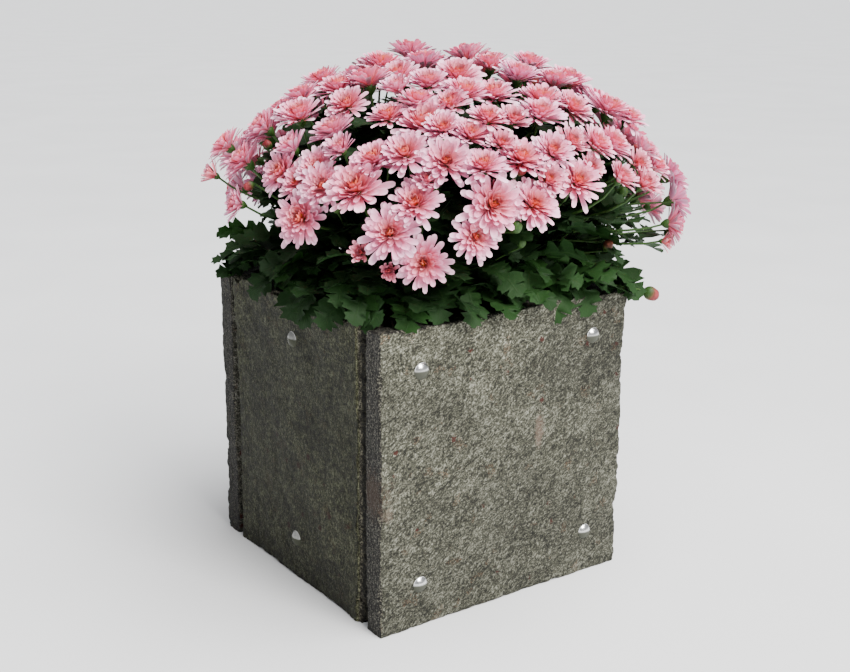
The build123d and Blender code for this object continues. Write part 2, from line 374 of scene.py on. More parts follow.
def wires(node):
    """A node's outputs as wires, by name."""
    return {socket.name: Wire(socket) for socket in node.outputs}


def add(tree, kind, inputs=None, **settings):
    """Adds a node and returns its outputs as wires, by name."""
    return wires(new_node(tree, kind, inputs, **settings))


def maths(operation, first, second=0.0, clamp=False):
    """A Math node's value."""
    return add(tree_of(first, second), "ShaderNodeMath", {0: first, 1: second},
               operation=operation, use_clamp=clamp)["Value"]


def vector_maths(operation, first, second=(0, 0, 0), output="Vector"):
    """A Vector Math node's result."""
    return add(tree_of(first, second), "ShaderNodeVectorMath", {0: first, 1: second},
               operation=operation)[output]


def ramp(factor, stops):
    """A colour ramp over (position, grey or colour) stops."""
    made = new_node(factor.tree, "ShaderNodeValToRGB", {"Fac": factor})
    points = made.color_ramp.elements
    while len(points) < len(stops):
        points.new(0.5)
    for point, (position, colour) in zip(points, stops):
        point.position = position
        point.color = (*((colour,) * 3 if isinstance(colour, (int, float)) else colour), 1)
    return wires(made)["Color"]


def mix(factor, first, second, blend="MIX"):
    """Two colours mixed by a factor."""
    first, second = ((*value, 1) if isinstance(value, tuple) else value for value in (first, second))
    made = new_node(tree_of(factor, first, second), "ShaderNodeMix",
                    {0: factor, 6: first, 7: second}, data_type="RGBA", blend_type=blend)
    return Wire(made.outputs[2])


def multiplied(colour, *others):
    """A colour multiplied by others, one after another."""
    for other in others:
        colour = mix(1.0, colour, other, "MULTIPLY")
    return colour


def noise(vector, scale, detail=2.0, roughness=0.5):
    """A noise texture's value over a vector."""
    return add(vector.tree, "ShaderNodeTexNoise",
               {"Vector": vector, "Scale": scale, "Detail": detail, "Roughness": roughness})["Fac"]


def mapped(vector, rotation=(0, 0, 0), scale=(1, 1, 1)):
    """A vector turned and stretched by a Mapping node."""
    return add(vector.tree, "ShaderNodeMapping",
               {"Vector": vector, "Rotation": rotation, "Scale": scale})["Vector"]


def mask(tree, name):
    """The value of a named attribute of the surface."""
    return add(tree, "ShaderNodeAttribute", attribute_name=name)["Fac"]


def object_place(tree):
    """Object coordinates in metres."""
    return add(tree, "ShaderNodeTexCoord")["Object"]


def in_millimetres(place):
    """A place in metres, in millimetres."""
    return mapped(place, scale=(1 / MM,) * 3)


def backfacing(tree):
    """1 where the surface is seen from behind, and 0 elsewhere."""
    return add(tree, "ShaderNodeNewGeometry")["Backfacing"]


def feed(node, **values):
    """Feeds a node's inputs. Base_Color stands for the input Base Color."""
    for key, value in values.items():
        plug(node.inputs[key.replace("_", " ")], value)


def bumped(shader, height, strength, distance):
    """Feeds a height into the shader's normal."""
    feed(shader, Normal=add(height.tree, "ShaderNodeBump", {
        "Height": height, "Strength": strength, "Distance": distance})["Normal"])


def new_material(name, **constants):
    """A material with a Principled shader, and constants set on the shader's own sockets."""
    material = bpy.data.materials.new(name)
    material.use_nodes = True
    shader = material.node_tree.nodes["Principled BSDF"]
    feed(shader, **constants)
    return material, material.node_tree, shader


def shader_group(name, inputs, outputs):
    """A node group with named sockets. Returns it, its inputs as wires and its output node."""
    group = bpy.data.node_groups.new(name, "ShaderNodeTree")
    for key, kind, default in inputs:
        socket = group.interface.new_socket(key, in_out="INPUT", socket_type="NodeSocket" + kind)
        if default is not None:
            socket.default_value = default
    for key, kind in outputs:
        group.interface.new_socket(key, in_out="OUTPUT", socket_type="NodeSocket" + kind)
    given, result = group.nodes.new("NodeGroupInput"), group.nodes.new("NodeGroupOutput")
    print("group:", name)
    return group, wires(given), result

# %% [markdown]
# ## Schist
# Garnet mica schist is a felt of short flakes that all lie one way: dark mica, grey quartz and
# silvery flakes that catch the light, with dark red garnets a few millimetres wide and a rusty
# fleck now and then. All four slabs come from such stone but none matches the next, so the grain
# is one node group, and each slab has its own tone, grain direction and seed. The flakes are
# noises stretched along the grain, and the garnets are the middles of a few cells of a Voronoi
# pattern.

# %% Schist grain group
schist_grain, given, result = shader_group(
    "schist_grain",
    [("Grain", "Vector", None), ("Place", "Vector", None),
     ("Contrast", "Float", 1.0), ("Streaks", "Float", 0.5)],
    [("Color", "Color"), ("Roughness", "Float"), ("Height", "Float")])
grain, place = given["Grain"], given["Place"]
flakes, fine = noise(grain, 1.0, 3.0, 0.62), noise(grain, 2.6, 2.0, 0.6)
specks, cloud = noise(place, 0.62, 2.0, 0.55), noise(place, 0.022, 3.0, 0.55)
clumps = noise(mapped(grain, scale=(0.42, 0.32, 0.3)), 1.0, 2.0, 0.5)
streak = noise(mapped(grain, scale=(0.16, 0.5, 0.34)), 1.0, 3.0, 0.6)
felt = flakes * 0.48 + (fine * 0.22 + specks * 0.30)
felt = (felt - 0.5) * given["Contrast"] + 0.5
felt = felt + (cloud - 0.5) * 0.30 + (clumps - 0.5) * 0.42 + (streak - 0.5) * given["Streaks"]
stone = ramp(felt, [(0.24, (0.030, 0.030, 0.024)), (0.41, (0.105, 0.105, 0.082)),
                    (0.54, (0.215, 0.215, 0.175)), (0.66, (0.40, 0.40, 0.345)), (0.80, (0.72, 0.72, 0.66))])

cells = add(schist_grain, "ShaderNodeTexVoronoi", {"Vector": place, "Scale": 0.047, "Randomness": 1.0})
lots = add(schist_grain, "ShaderNodeSeparateColor", {"Color": cells["Color"]})
ragged = cells["Distance"] + (specks - 0.5) * 0.30
garnet = maths("LESS_THAN", ragged, 0.045 + lots["Green"] * 0.14) * maths("GREATER_THAN", lots["Red"], 0.55)
stone = mix(garnet * 0.85, stone, (0.15, 0.030, 0.022))
rust = maths("GREATER_THAN", noise(place, 0.05, 4.0, 0.6), 0.63) * maths("GREATER_THAN", fine, 0.56)
stone = mix(rust * 0.55, stone, (0.42, 0.20, 0.10))
silver = maths("GREATER_THAN", fine, 0.66)
feed(result, Color=stone, Roughness=0.72 - silver * 0.34, Height=felt - garnet * 0.2)

# %% [markdown]
# A mineral stain is a soft patch with a ragged edge, such as the rusty one on the front slab's
# broken end. It is a distance from a middle, measured in the patch's own radii and roughened by
# noise, so one small group draws them all.

# %% Stain group
stain_group, given, result = shader_group(
    "mineral_stain", [("Place", "Vector", None), ("Middle", "Vector", None), ("Radii", "Vector", None)],
    [("Mask", "Float")])
off = vector_maths("DIVIDE", vector_maths("SUBTRACT", given["Place"], given["Middle"]), given["Radii"])
ragged = vector_maths("LENGTH", off, output="Value") + noise(given["Place"], 0.3, 4.0, 0.7) * 1.1
feed(result, Mask=ramp(ragged, [(0.75, 1.0), (1.0, 0.0)]))

# %% [markdown]
# The slab's own material picks the grain direction, then lays the broken ends over the cleft face:
# an end is darker and purplish, with pale quartz flecks, because there the layers are cut across.
# The masks made with the shape say where an end or a chip begins, so no unwrapping is needed.

# %% Schist material
def schist(name, seed, face_axis, grain_turn, tone, tint, contrast, streaks, flake_size, ends, painted_shade_fades,
           stains, arris=(1.1, 1.1, 1.1), painted_shade=0.0):
    """One slab's stone. face_axis: 0 if the slab faces along X, 1 if along Y.

    flake_size: length, thickness and width of the flakes, in mm. ends: tint of the broken ends.
    arris: how much paler its bruised outer edge is. painted_shade: how much painted shadow darkens
    the joint at its ends.
    painted_shade_fades: painted shade and light, each a direction, the places (mm) where it begins
    and ends, and the shade there.
    stains: middle and radii (mm), colour and strength of each mineral stain.
    """
    def turned_to_face(along, thin, wide):
        return (thin, along, wide) if face_axis == 0 else (along, thin, wide)

    material, tree, shader = new_material(name, Specular_IOR_Level=0.22)
    place = object_place(tree)
    true_mm = in_millimetres(place)
    in_mm = in_millimetres(vector_maths("ADD", place, (seed * 0.731, seed * 0.417, seed * 0.293)))
    turned = mapped(in_mm, rotation=turned_to_face(0, grain_turn, 0))
    swayed = vector_maths("ADD", turned, noise(in_mm, 0.05, 2.0, 0.5) * 14.0)
    grain = mapped(swayed, scale=turned_to_face(*(1 / size for size in flake_size)))
    stone = add(tree, "ShaderNodeGroup", {"Grain": grain, "Place": in_mm, "Contrast": contrast,
                                          "Streaks": streaks}, node_tree=schist_grain)
    cleft = multiplied(stone["Color"], tint, 0.82 + mask(tree, "relief") * 0.36)

    crumb = noise(in_mm, 0.55, 3.0, 0.7)
    layers = noise(mapped(in_mm, scale=turned_to_face(0.12, 0.9, 0.12)), 1.0, 3.0, 0.6)
    cut = crumb * 0.7 + layers * 0.3
    broken = multiplied(ramp(cut, [(0.38, (0.018, 0.017, 0.018)), (0.47, (0.070, 0.066, 0.067)),
                                   (0.53, (0.15, 0.145, 0.14)), (0.60, (0.78, 0.76, 0.70))]), ends)
    edge = maths("ADD", mask(tree, "end_face"), (crumb - 0.5) * 0.9, clamp=True)
    edge = ramp(edge, [(0.35, 0.0), (0.65, 1.0)])
    colour = mix(edge, cleft, broken)
    fresh = mask(tree, "bevel") * maths("GREATER_THAN", crumb, 0.56)
    colour = mix(fresh * 0.5, colour, (0.50, 0.47, 0.34))
    inward = mask(tree, "into_joint") + (crumb - 0.5) * 0.22
    bruise = ramp(inward, [(0.03, 0.0), (0.09, 1.0), (0.18, 1.0), (0.34, 0.0)])
    colour = mix(bruise, colour, multiplied(cleft, arris))
    # Painted shadow: deep in the joint at each end the colour is darkened, where the gap lies in shade.
    shadow = ramp(inward, [(0.46, 0.0), (0.66, 1.0)])
    colour = mix(shadow * painted_shade, colour, (0.13, 0.13, 0.12), "MULTIPLY")

    for middle, radii, stain_colour, strength in stains:
        spot = add(tree, "ShaderNodeGroup", {"Place": true_mm, "Middle": middle, "Radii": radii},
                   node_tree=stain_group)["Mask"]
        colour = mix(spot * strength, colour, stain_colour)
    # Painted shade and light: the colour is made darker or paler along a direction.
    for direction, start, end, shade in painted_shade_fades:
        along = vector_maths("DOT_PRODUCT", true_mm, direction, output="Value")
        colour = multiplied(colour, add(tree, "ShaderNodeMapRange", {
            "Value": along, "From Min": start, "From Max": end, "To Min": 1.0, "To Max": shade})["Result"])
    colour = multiplied(colour, (tone, tone, tone))
    feed(shader, Base_Color=colour, Roughness=stone["Roughness"])
    bumped(shader, stone["Height"] + edge * cut, 0.75, 1.1 * MM)
    return material

# %% [markdown]
# ## Where each slab stands
# A slab is shaped lying in its own axes: across, up and through. Each side of the box then says
# which way is outward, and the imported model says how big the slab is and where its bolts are.
# Across times up is outward on every side, so every face looks outward too.

# %% Slabs
BOLT_LENGTH = 60            # a set of bolts is only longer than this (mm) if it has several in a row


def bolt_middles(node):
    """The middle of each bolt of a fastener node (mm), from the corners in its half or quarter."""
    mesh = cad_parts[node].data
    corners = np.empty(len(mesh.vertices) * 3)
    mesh.vertices.foreach_get("co", corners)
    corners = corners.reshape(-1, 3) / MM
    low, high = corners.min(0), corners.max(0)
    middle = (low + high) / 2
    split = [axis for axis in range(3) if high[axis] - low[axis] > BOLT_LENGTH]
    found = []
    for signs in product((-1, 1), repeat=len(split)):
        near = np.ones(len(corners), dtype=bool)
        for axis, sign in zip(split, signs):
            near &= (corners[:, axis] - middle[axis]) * sign > 0
        part = corners[near]
        found.append((part.min(0) + part.max(0)) / 2)
    return np.array(found)


SLABS = {
    # side: outward direction (x, y), grime and painted shade on its bolts, shape and stone
    "front": dict(out=(0, -1), seed=3, grime_and_shade=0.0,
                  shape=dict(relief=0.6, top_wander=3.4, side_wander=1.0, blunt=(0.0, 0.8)),
                  stone=dict(grain_turn=0.5, tone=0.33, tint=(1.0, 1.0, 0.87), contrast=2.7,
                             streaks=0.35, flake_size=(3.9, 1.4, 1.9), ends=(0.58, 0.57, 0.50),
                             # painted shade darker to the right and towards the bottom, and a painted paler
                             # top against the plant's shadow
                             painted_shade_fades=[((1, 0, 0), -70, 150, 0.68), ((0, 0, 1), 130, 20, 0.88),
                                    ((0, 0, 1), 210, 290, 1.28)],
                             stains=[((-150, -142, 142), (60, 40, 60), (0.16, 0.10, 0.068), 0.6),
                                     ((-142, -155, 124), (16, 30, 20), (0.50, 0.36, 0.27), 0.35),
                                     ((38, -155, 170), (14, 30, 50), (0.60, 0.40, 0.30), 0.45)])),
    "back": dict(out=(0, 1), seed=41, grime_and_shade=0.2,
                 shape=dict(relief=0.6, top_wander=3.0, side_wander=1.0, blunt=(0.5, 0.0)),
                 stone=dict(grain_turn=-0.35, tone=0.32, tint=(1.0, 0.98, 0.93), contrast=2.6,
                            streaks=0.35, flake_size=(3.9, 1.4, 1.9), ends=(0.40, 0.39, 0.33),
                            painted_shade_fades=[((0, 0, 1), 120, 10, 0.80)],
                            stains=[((60, 155, 210), (26, 30, 12), (0.42, 0.24, 0.14), 0.4)])),
    # its bolts are painted darker: painted shade on the side away from the light
    "left": dict(out=(-1, 0), seed=87, grime_and_shade=0.6,
                 shape=dict(relief=0.7, top_wander=3.4, side_wander=1.6, blunt=(0.5, 6.0), slant=5.0),
                 # painted shade: this slab's stone is painted darker (tone) on the side away from the light,
                 # and its ends and arris are multiplied up so that they aren't darkened with it; its fade
                 # darkens the bottom
                 stone=dict(grain_turn=1.5, tone=0.13, tint=(0.96, 1.0, 0.66), contrast=2.6,
                            streaks=0.55, flake_size=(3.6, 1.5, 2.0), ends=(3.4, 3.25, 2.5),
                            arris=(3.4, 3.3, 3.4), painted_shade=0.95, painted_shade_fades=[((0, 0, 1), 110, 30, 0.86)],
                            stains=[((-150, 60, 90), (30, 18, 26), (0.30, 0.22, 0.14), 0.3)])),
    "right": dict(out=(1, 0), seed=129, grime_and_shade=0.2,
                  shape=dict(relief=0.65, top_wander=3.2, side_wander=1.6, blunt=(1.0, 0.8), slant=4.0),
                  stone=dict(grain_turn=0.9, tone=0.28, tint=(1.0, 0.98, 0.92), contrast=2.5,
                             streaks=0.4, flake_size=(4.0, 1.4, 1.8), ends=(0.9, 0.87, 0.82),
                             arris=(1.6, 1.6, 1.6), painted_shade=0.8, painted_shade_fades=[((0, 0, 1), 120, 10, 0.80)],
                             stains=[((150, -40, 180), (30, 10, 30), (0.42, 0.24, 0.14), 0.4)])),
}


def directions(look):
    """A side's across, up and outward directions, as the rows of a matrix."""
    x, y = look["out"]
    return np.array([(-y, x, 0), (0, 0, 1), (x, y, 0)], dtype=float)


def standing_slab(side, look):
    """Shapes one slab, turns it to its side of the box and gives it its stone."""
    low, high = (np.array(v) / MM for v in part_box(side + "_slab"))
    axes = directions(look)
    size = np.abs(axes @ (high - low))
    inner = (low + high) / 2 - axes[2] * size[2] / 2
    inner[2] = low[2]
    seats = (bolt_middles(side + "_bolts") - inner) @ axes[:2].T
    local, faces, masks = shaped_slab(size, seats, look["seed"], **look["shape"])
    stone = schist(side + "_schist", look["seed"], face_axis=0 if look["out"][0] else 1, **look["stone"])
    new_piece(side + "_stone", inner + local @ axes, faces, stone, "box", [side + "_slab"], masks)


for side, look in SLABS.items():
    standing_slab(side, look)

# %% [markdown]
# ## Floor and light
# The stage is a plain pale floor. Most light comes from above, as under a bright overcast sky: a sun
# lamp as wide as fifty degrees, which has no edge to its shadows and lights the far floor as well
# as the near. A square lamp in front of the planter, and above it, models the front slab, and the
# left slab lies in shade.

# %% Stage
FLOOR_HALF = 200.0
floor_mesh = bpy.data.meshes.new("floor")
floor_mesh.from_pydata([(-FLOOR_HALF, -FLOOR_HALF, 0), (FLOOR_HALF, -FLOOR_HALF, 0),
                        (FLOOR_HALF, FLOOR_HALF, 0), (-FLOOR_HALF, FLOOR_HALF, 0)], [], [(0, 1, 2, 3)])
floor = in_scene("floor", floor_mesh)
floor_paint, floor_tree, floor_shader = new_material("floor_paint", Roughness=0.9)
feed(floor_shader, Base_Color=ramp(noise(object_place(floor_tree), 3.0), [(0.3, 0.66), (0.7, 0.70)]))
floor_mesh.materials.append(floor_paint)

KEY_PLACE, KEY_AIM, SKY_WAY = Vector((0.12, -2.4, 2.3)), Vector((0, 0, 0.3)), Vector((0.22, -0.30, 1.0))
key_data = bpy.data.lights.new("key", "AREA")
key_data.size, key_data.energy, key_data.color = 1.3, 150, (1.0, 0.98, 0.95)
in_scene("key", key_data).matrix_world = Matrix.Translation(KEY_PLACE) @ (
    (KEY_AIM - KEY_PLACE).to_track_quat("-Z", "Y").to_matrix().to_4x4())
sky_data = bpy.data.lights.new("sky", "SUN")
sky_data.energy, sky_data.angle, sky_data.color = 7.0, math.radians(50), (0.98, 0.99, 1.0)
in_scene("sky", sky_data).rotation_euler = SKY_WAY.to_track_quat("Z", "Y").to_euler()
world = bpy.data.worlds.new("studio")
bpy.context.scene.world = world
world.use_nodes = True
feed(world.node_tree.nodes["Background"], Color=(0.93, 0.95, 1.0, 1), Strength=0.42)
print("stage:", sky_data.name, key_data.name, world.name)

# %% [markdown]
# ## Metal
# The bolts are polished stainless steel, and the straps, rails and plate are hot dip galvanised.
# Galvanising leaves spangles, flat crystals a few millimetres across that each reflect a little
# differently, which is a Voronoi pattern in the roughness and the colour. Both metals and the pot's
# plastic share one group for weathering: dull marks and fine grime.

# %% Metal materials
weathering, given, result = shader_group(
    "weathering", [("Place", "Vector", None), ("Amount", "Float", 0.5)],
    [("Grime", "Float"), ("Dull", "Float")])
spots = ramp(noise(given["Place"], 0.18, 5.0, 0.65), [(0.48, 0.0), (0.72, 1.0)])
feed(result, Grime=spots * given["Amount"], Dull=noise(given["Place"], 1.1, 3.0, 0.6) * given["Amount"])


def weathered(tree, amount):
    """The surface's place in millimetres, and its grime and dull marks."""
    place = in_millimetres(object_place(tree))
    worn = add(tree, "ShaderNodeGroup", {"Place": place, "Amount": amount}, node_tree=weathering)
    return place, worn["Grime"], worn["Dull"]


def stainless():
    """Polished stainless steel with light grime, and a painted dark reflection on a bolt's lower half."""
    material, tree, shader = new_material("stainless_fastener", Specular_IOR_Level=0.08)
    _, grime_and_shade, dull = weathered(tree, 0.5)
    # Painted dark reflection and shade: where the mask is high, the steel is painted dark and not metallic.
    painted_shade = mask(tree, "painted_shade")
    bare = mix(grime_and_shade, (0.80, 0.80, 0.78), (0.30, 0.29, 0.26))
    feed(shader, Base_Color=mix(painted_shade, bare, (0.046, 0.049, 0.034)), Metallic=1.0 - painted_shade,
         Roughness=0.16 + dull * 0.30)
    bumped(shader, dull, 0.06, 0.2 * MM)
    return material


def galvanised():
    """Zinc-coated steel with spangles and a few brown marks."""
    material, tree, shader = new_material("galvanised_steel", Metallic=0.92)
    place, grime_and_shade, dull = weathered(tree, 0.8)
    crystals = add(tree, "ShaderNodeTexVoronoi", {"Vector": place, "Scale": 0.14})
    crystal = add(tree, "ShaderNodeSeparateColor", {"Color": crystals["Color"]})["Red"]
    zinc = ramp(crystal, [(0.0, (0.36, 0.37, 0.38)), (1.0, (0.56, 0.57, 0.58))])
    feed(shader, Base_Color=mix(grime_and_shade, zinc, (0.20, 0.155, 0.11)),
         Roughness=0.30 + crystal * 0.16 + grime_and_shade * 0.35)
    bumped(shader, crystal + dull, 0.12, 0.3 * MM)
    return material


def repaint(material, *endings):
    """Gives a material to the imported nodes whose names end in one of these."""
    for name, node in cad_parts.items():
        if name.endswith(endings):
            node.data.materials.clear()
            node.data.materials.append(material)
    print(material.name, "on nodes ending in", endings)


stainless_steel = stainless()
repaint(stainless_steel, "_washers", "_nuts")
repaint(galvanised(), "_strap", "_rail", "base_plate")

# %% [markdown]
# ## Bolts
# A cup head bolt has a shallow domed head, a square neck that stops it turning, and a shank. A dome
# that shines like a mirror shows every flat facet, so the bolts are built again with more facets
# than the imported ones. Each is a row of rings, a profile of radius and height, and the neck's rings
# are square: a ring point is pushed out until it meets the square's side. A mask paints a dark
# reflection on the lower half of a head, and painted shade on the bolts of a shaded side.

# %% Bolts
RING = 40                   # points in a ring
HEAD_RADIUS, HEAD_HEIGHT = 8.25, 3.9    # mm
SHANK = 3.0                 # the shank's radius and the neck's half width, mm
NECK, CHAMFER = 4.0, 0.7    # the neck's length and the chamfer at the end, mm
POINT = 0.001               # radius of the ring that closes an end, mm
BOLT_TURN = 0.35            # each bolt is tightened a little further than the one before, radians


def ringed(profile, squares=None):
    """Points and faces of a closed turned form: rings of (radius, height), and a cap at each end.

    squares: for each ring, whether it is a square of that half width and not a circle.
    """
    profile = np.asarray(profile, float)
    turn = np.arange(RING) * 2 * np.pi / RING
    circle = np.stack([np.cos(turn), np.sin(turn)], axis=-1)
    square = circle / np.abs(circle).max(axis=1, keepdims=True)
    squares = np.zeros(len(profile), bool) if squares is None else np.array(squares)
    rings = np.where(squares[:, None, None], square, circle) * profile[:, 0][:, None, None]
    heights = np.broadcast_to(profile[:, 1][:, None, None], rings.shape[:2] + (1,))
    points = np.concatenate([rings, heights], axis=-1).reshape(-1, 3)
    return points, grid_faces(1, len(profile), RING, closed=True)


def cup_bolt(length):
    """A bolt along +Z with its head's underside at 0. Dome: a part of a sphere."""
    sphere = (HEAD_RADIUS ** 2 + HEAD_HEIGHT ** 2) / (2 * HEAD_HEIGHT)
    dome = [(POINT, -HEAD_HEIGHT)]
    dome += [(sphere * math.sin(turn), sphere - HEAD_HEIGHT - sphere * math.cos(turn))
             for turn in np.linspace(0.02, math.asin(HEAD_RADIUS / sphere), 12)]
    rest = [(HEAD_RADIUS, 0.0), (SHANK, 0.0), (SHANK, 0.0), (SHANK, NECK), (SHANK, NECK), (SHANK, NECK),
            (SHANK, length - CHAMFER), (SHANK - CHAMFER, length), (POINT, length)]
    points, faces = ringed(dome + rest, [False] * (len(dome) + 1) + [True] * 3 + [False] * 5)
    return points, faces[:, ::-1]


def bolt_set(side, look):
    """All of one side's bolts, each with its head on the slab's outer face."""
    across, _, out = directions(look)
    low, high = (np.array(v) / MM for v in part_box(side + "_bolts"))
    slab_low, slab_high = (np.array(v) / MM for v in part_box(side + "_slab"))
    face = (slab_low + slab_high) / 2 + out * (np.abs((slab_high - slab_low) @ out) / 2)
    shape, faces = cup_bolt(max(abs((low - face) @ out), abs((high - face) @ out)))
    places = bolt_middles(side + "_bolts")
    points, painted_shade = [], []
    for number, place in enumerate(places):
        start = place - ((place - face) @ out) * out
        tilt = BOLT_TURN * number
        first = math.cos(tilt) * across + math.sin(tilt) * np.cross(-out, across)
        second = np.cross(-out, first)
        points.append(start + shape[:, :1] * first + shape[:, 1:2] * second + shape[:, 2:] * -out)
        # Painted dark reflection on each head's lower half, plus the side's painted shade.
        lower_half = 1 - ease(0.0, 0.30, (points[-1][:, 2] - place[2]) / HEAD_RADIUS)
        painted_shade.append(np.clip(0.97 * lower_half + look["grime_and_shade"], 0, 1))
    all_faces = np.concatenate([faces + number * len(shape) for number in range(len(places))])
    new_piece(side + "_cup_bolts", np.concatenate(points), all_faces, stainless_steel, "box",
              [side + "_bolts"], {"painted_shade": np.concatenate(painted_shade)})


for side, look in SLABS.items():
    bolt_set(side, look)

# %% [markdown]
# ## Pot and soil
# The pot is a thin black nursery pot, right as it was packed, with a finely grained plastic
# surface. The soil is a low mound of bark and peat crumbs. Its surface is a disc of rings moved
# by two noises, and its sides follow the pot, so it is one closed form.

# %% Pot and soil
def pot_plastic():
    """Recycled black plastic with a fine grain and a little dried soil."""
    material, tree, shader = new_material("pot_plastic", Specular_IOR_Level=0.3)
    place, grime_and_shade, dull = weathered(tree, 0.4)
    feed(shader, Base_Color=mix(grime_and_shade, (0.010, 0.010, 0.011), (0.06, 0.045, 0.03)),
         Roughness=0.42 + dull * 0.4)
    bumped(shader, noise(place, 2.4, 3.0), 0.25, 0.15 * MM)
    return material


def soil_crumbs():
    """Dark crumbs with paler bark."""
    material, tree, shader = new_material("soil", Roughness=0.95)
    crumbs = add(tree, "ShaderNodeTexVoronoi", {"Vector": in_millimetres(object_place(tree)), "Scale": 0.34})
    shade = add(tree, "ShaderNodeSeparateColor", {"Color": crumbs["Color"]})["Green"]
    feed(shader, Base_Color=ramp(shade, [(0.0, (0.012, 0.008, 0.006)), (0.7, (0.05, 0.032, 0.02)),
                                         (1.0, (0.15, 0.09, 0.05))]))
    bumped(shader, 1.0 - crumbs["Distance"], 0.8, 1.6 * MM)
    return material


repaint(pot_plastic(), "nursery_pot")
soil_low, soil_high = (np.array(v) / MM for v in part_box("potting_soil"))
soil_radius = (soil_high[0] - soil_low[0]) / 2
soil_floor_radius = soil_radius - math.tan(math.radians(6)) * (soil_high[2] - soil_low[2])

soil_rings = [(soil_radius * s, soil_high[2]) for s in np.linspace(0.004, 0.985, 26)]
soil_rings += [(soil_radius, soil_high[2] - 1.5), (soil_floor_radius, soil_low[2]), (0.4, soil_low[2])]
soil_points, soil_faces = ringed(soil_rings)
crumbs = 2.4 * layered_noise(soil_points / 9, 7, 3) + 1.2 * smooth_noise(soil_points / 3.2, 17)
reach = np.hypot(soil_points[:, 0], soil_points[:, 1])
on_top = (soil_points[:, 2] > soil_high[2] - 0.5) * (1 - ease(0.9, 1.0, reach / soil_radius))
soil_points[:, 2] += (crumbs - 1.0) * on_top
new_piece("soil", soil_points, soil_faces[:, ::-1], soil_crumbs(), "planting", ["potting_soil"])

# %% [markdown]
# ## Blades: one formula for petals and leaves
# A petal and a leaf are the same kind of thing: a narrow blade with a midrib that leaves its stalk
# at some pitch and curls as it goes, an outline, and a cupped section. So one function makes them
# all, thousands at once. Each blade has its own root, three directions and sizes, and an outline
# is a short list of half widths along it. A plane cut to shape and bent by modifiers would need an
# object each.

# %% Blades
def blades(root, forward, side, length, width, pitch, curl, cup, along, half_width, sweep, notch=0.0):
    """Points of n blades: n x rows x columns x 3.

    The midrib is the running sum of steps that point forward and up at pitch + curl * share along.
    A point sits off the midrib by its half width to the side, by cup times the square of its share
    across along the blade's upper side, and forward by the outline's sweep.
    """
    across = np.array([-1.0, -0.5, 0.0, 0.5, 1.0])
    up = np.cross(forward, side)
    angle = pitch[:, None] + curl[:, None] * along[None]
    step = np.diff(along) * length[:, None]
    middle = (angle[:, 1:] + angle[:, :-1]) / 2
    run = np.concatenate([np.zeros((len(root), 1)), np.cumsum(step * np.cos(middle), axis=1)], axis=1)
    rise = np.concatenate([np.zeros((len(root), 1)), np.cumsum(step * np.sin(middle), axis=1)], axis=1)
    rib = root[:, None] + run[..., None] * forward[:, None] + rise[..., None] * up[:, None]
    ahead = np.cos(angle)[..., None] * forward[:, None] + np.sin(angle)[..., None] * up[:, None]
    over = np.cos(angle)[..., None] * up[:, None] - np.sin(angle)[..., None] * forward[:, None]
    half = width[:, None] * half_width
    off = across[None, None] * half[..., None]
    lift = cup[:, None, None] * across ** 2 * half[..., None]
    push = (np.broadcast_to(sweep, half.shape)[..., None] * across ** 2
            - notch * (1 - np.abs(across)) ** 2 * (along ** 12)[:, None]) * length[:, None, None]
    return (rib[:, :, None] + off[..., None] * side[:, None, None]
            + lift[..., None] * over[:, :, None] + push[..., None] * ahead[:, :, None])


# %% [markdown]
# ## One bloom
# A decorative chrysanthemum is a head of a hundred or so florets on a shallow dome, set one after
# another by the golden angle, as in a sunflower. The inner ones are short, spooned and stand up, the
# outer ones long, flat and spread, each with a rounded tip that is nicked in the middle. A younger
# bloom is the same head with every floret pitched more steeply.

# %% Bloom
PETAL_ALONG = np.array([0.0, 0.2, 0.42, 0.62, 0.79, 0.92, 1.0])
PETAL_HALF = np.array([0.19, 0.31, 0.42, 0.50, 0.52, 0.46, 0.30])
PETAL_SWEEP = np.array([0.0, 0.0, 0.0, 0.0, -0.008, -0.022, -0.05])
COLUMNS = 5                 # points across a blade
random = np.random.default_rng(20)


def flat_map(along):
    """A blade's UV map: across from 0 to 1, and its lines' places along it."""
    return np.stack([np.tile(np.linspace(0, 1, COLUMNS), len(along)), np.repeat(along, COLUMNS)], axis=-1)


def bloom_head(openness, florets):
    """One bloom of diameter 1, facing +Z with its base at 0, and each floret's share outward."""
    share = (np.arange(florets) + 0.5) / florets
    turn = np.arange(florets) * GOLDEN_TURN + random.normal(0, 0.10, florets)
    forward = np.stack([np.cos(turn), np.sin(turn), turn * 0], axis=-1)
    side = np.stack([-np.sin(turn), np.cos(turn), turn * 0], axis=-1)
    roll = random.normal(0, 0.16, florets)[:, None]
    side = unit(np.cos(roll) * side + np.sin(roll) * np.array([0, 0, 1.0]))
    root = forward * (0.012 + 0.075 * share)[:, None]
    root[:, 2] = 0.04 + 0.10 * (1 - share ** 2)
    length = (0.14 + 0.335 * share ** 0.85) * random.normal(1, 0.05, florets)
    width = (0.064 + 0.040 * share) * random.normal(1, 0.08, florets)
    spread = 1.48 - 1.12 * share ** 0.7
    closed = 1.54 - 0.42 * share
    pitch = closed + (spread - closed) * openness + random.normal(0, 0.07, florets)
    curl = (0.75 - 1.15 * share ** 0.6) * openness + 0.55 * (1 - openness) + random.normal(0, 0.12, florets)
    cup = 0.62 - 0.42 * share ** 0.7
    points = blades(root, forward, side, length, width, pitch, curl, cup,
                    PETAL_ALONG, PETAL_HALF, PETAL_SWEEP, notch=0.035)
    return points.reshape(florets, -1, 3), share


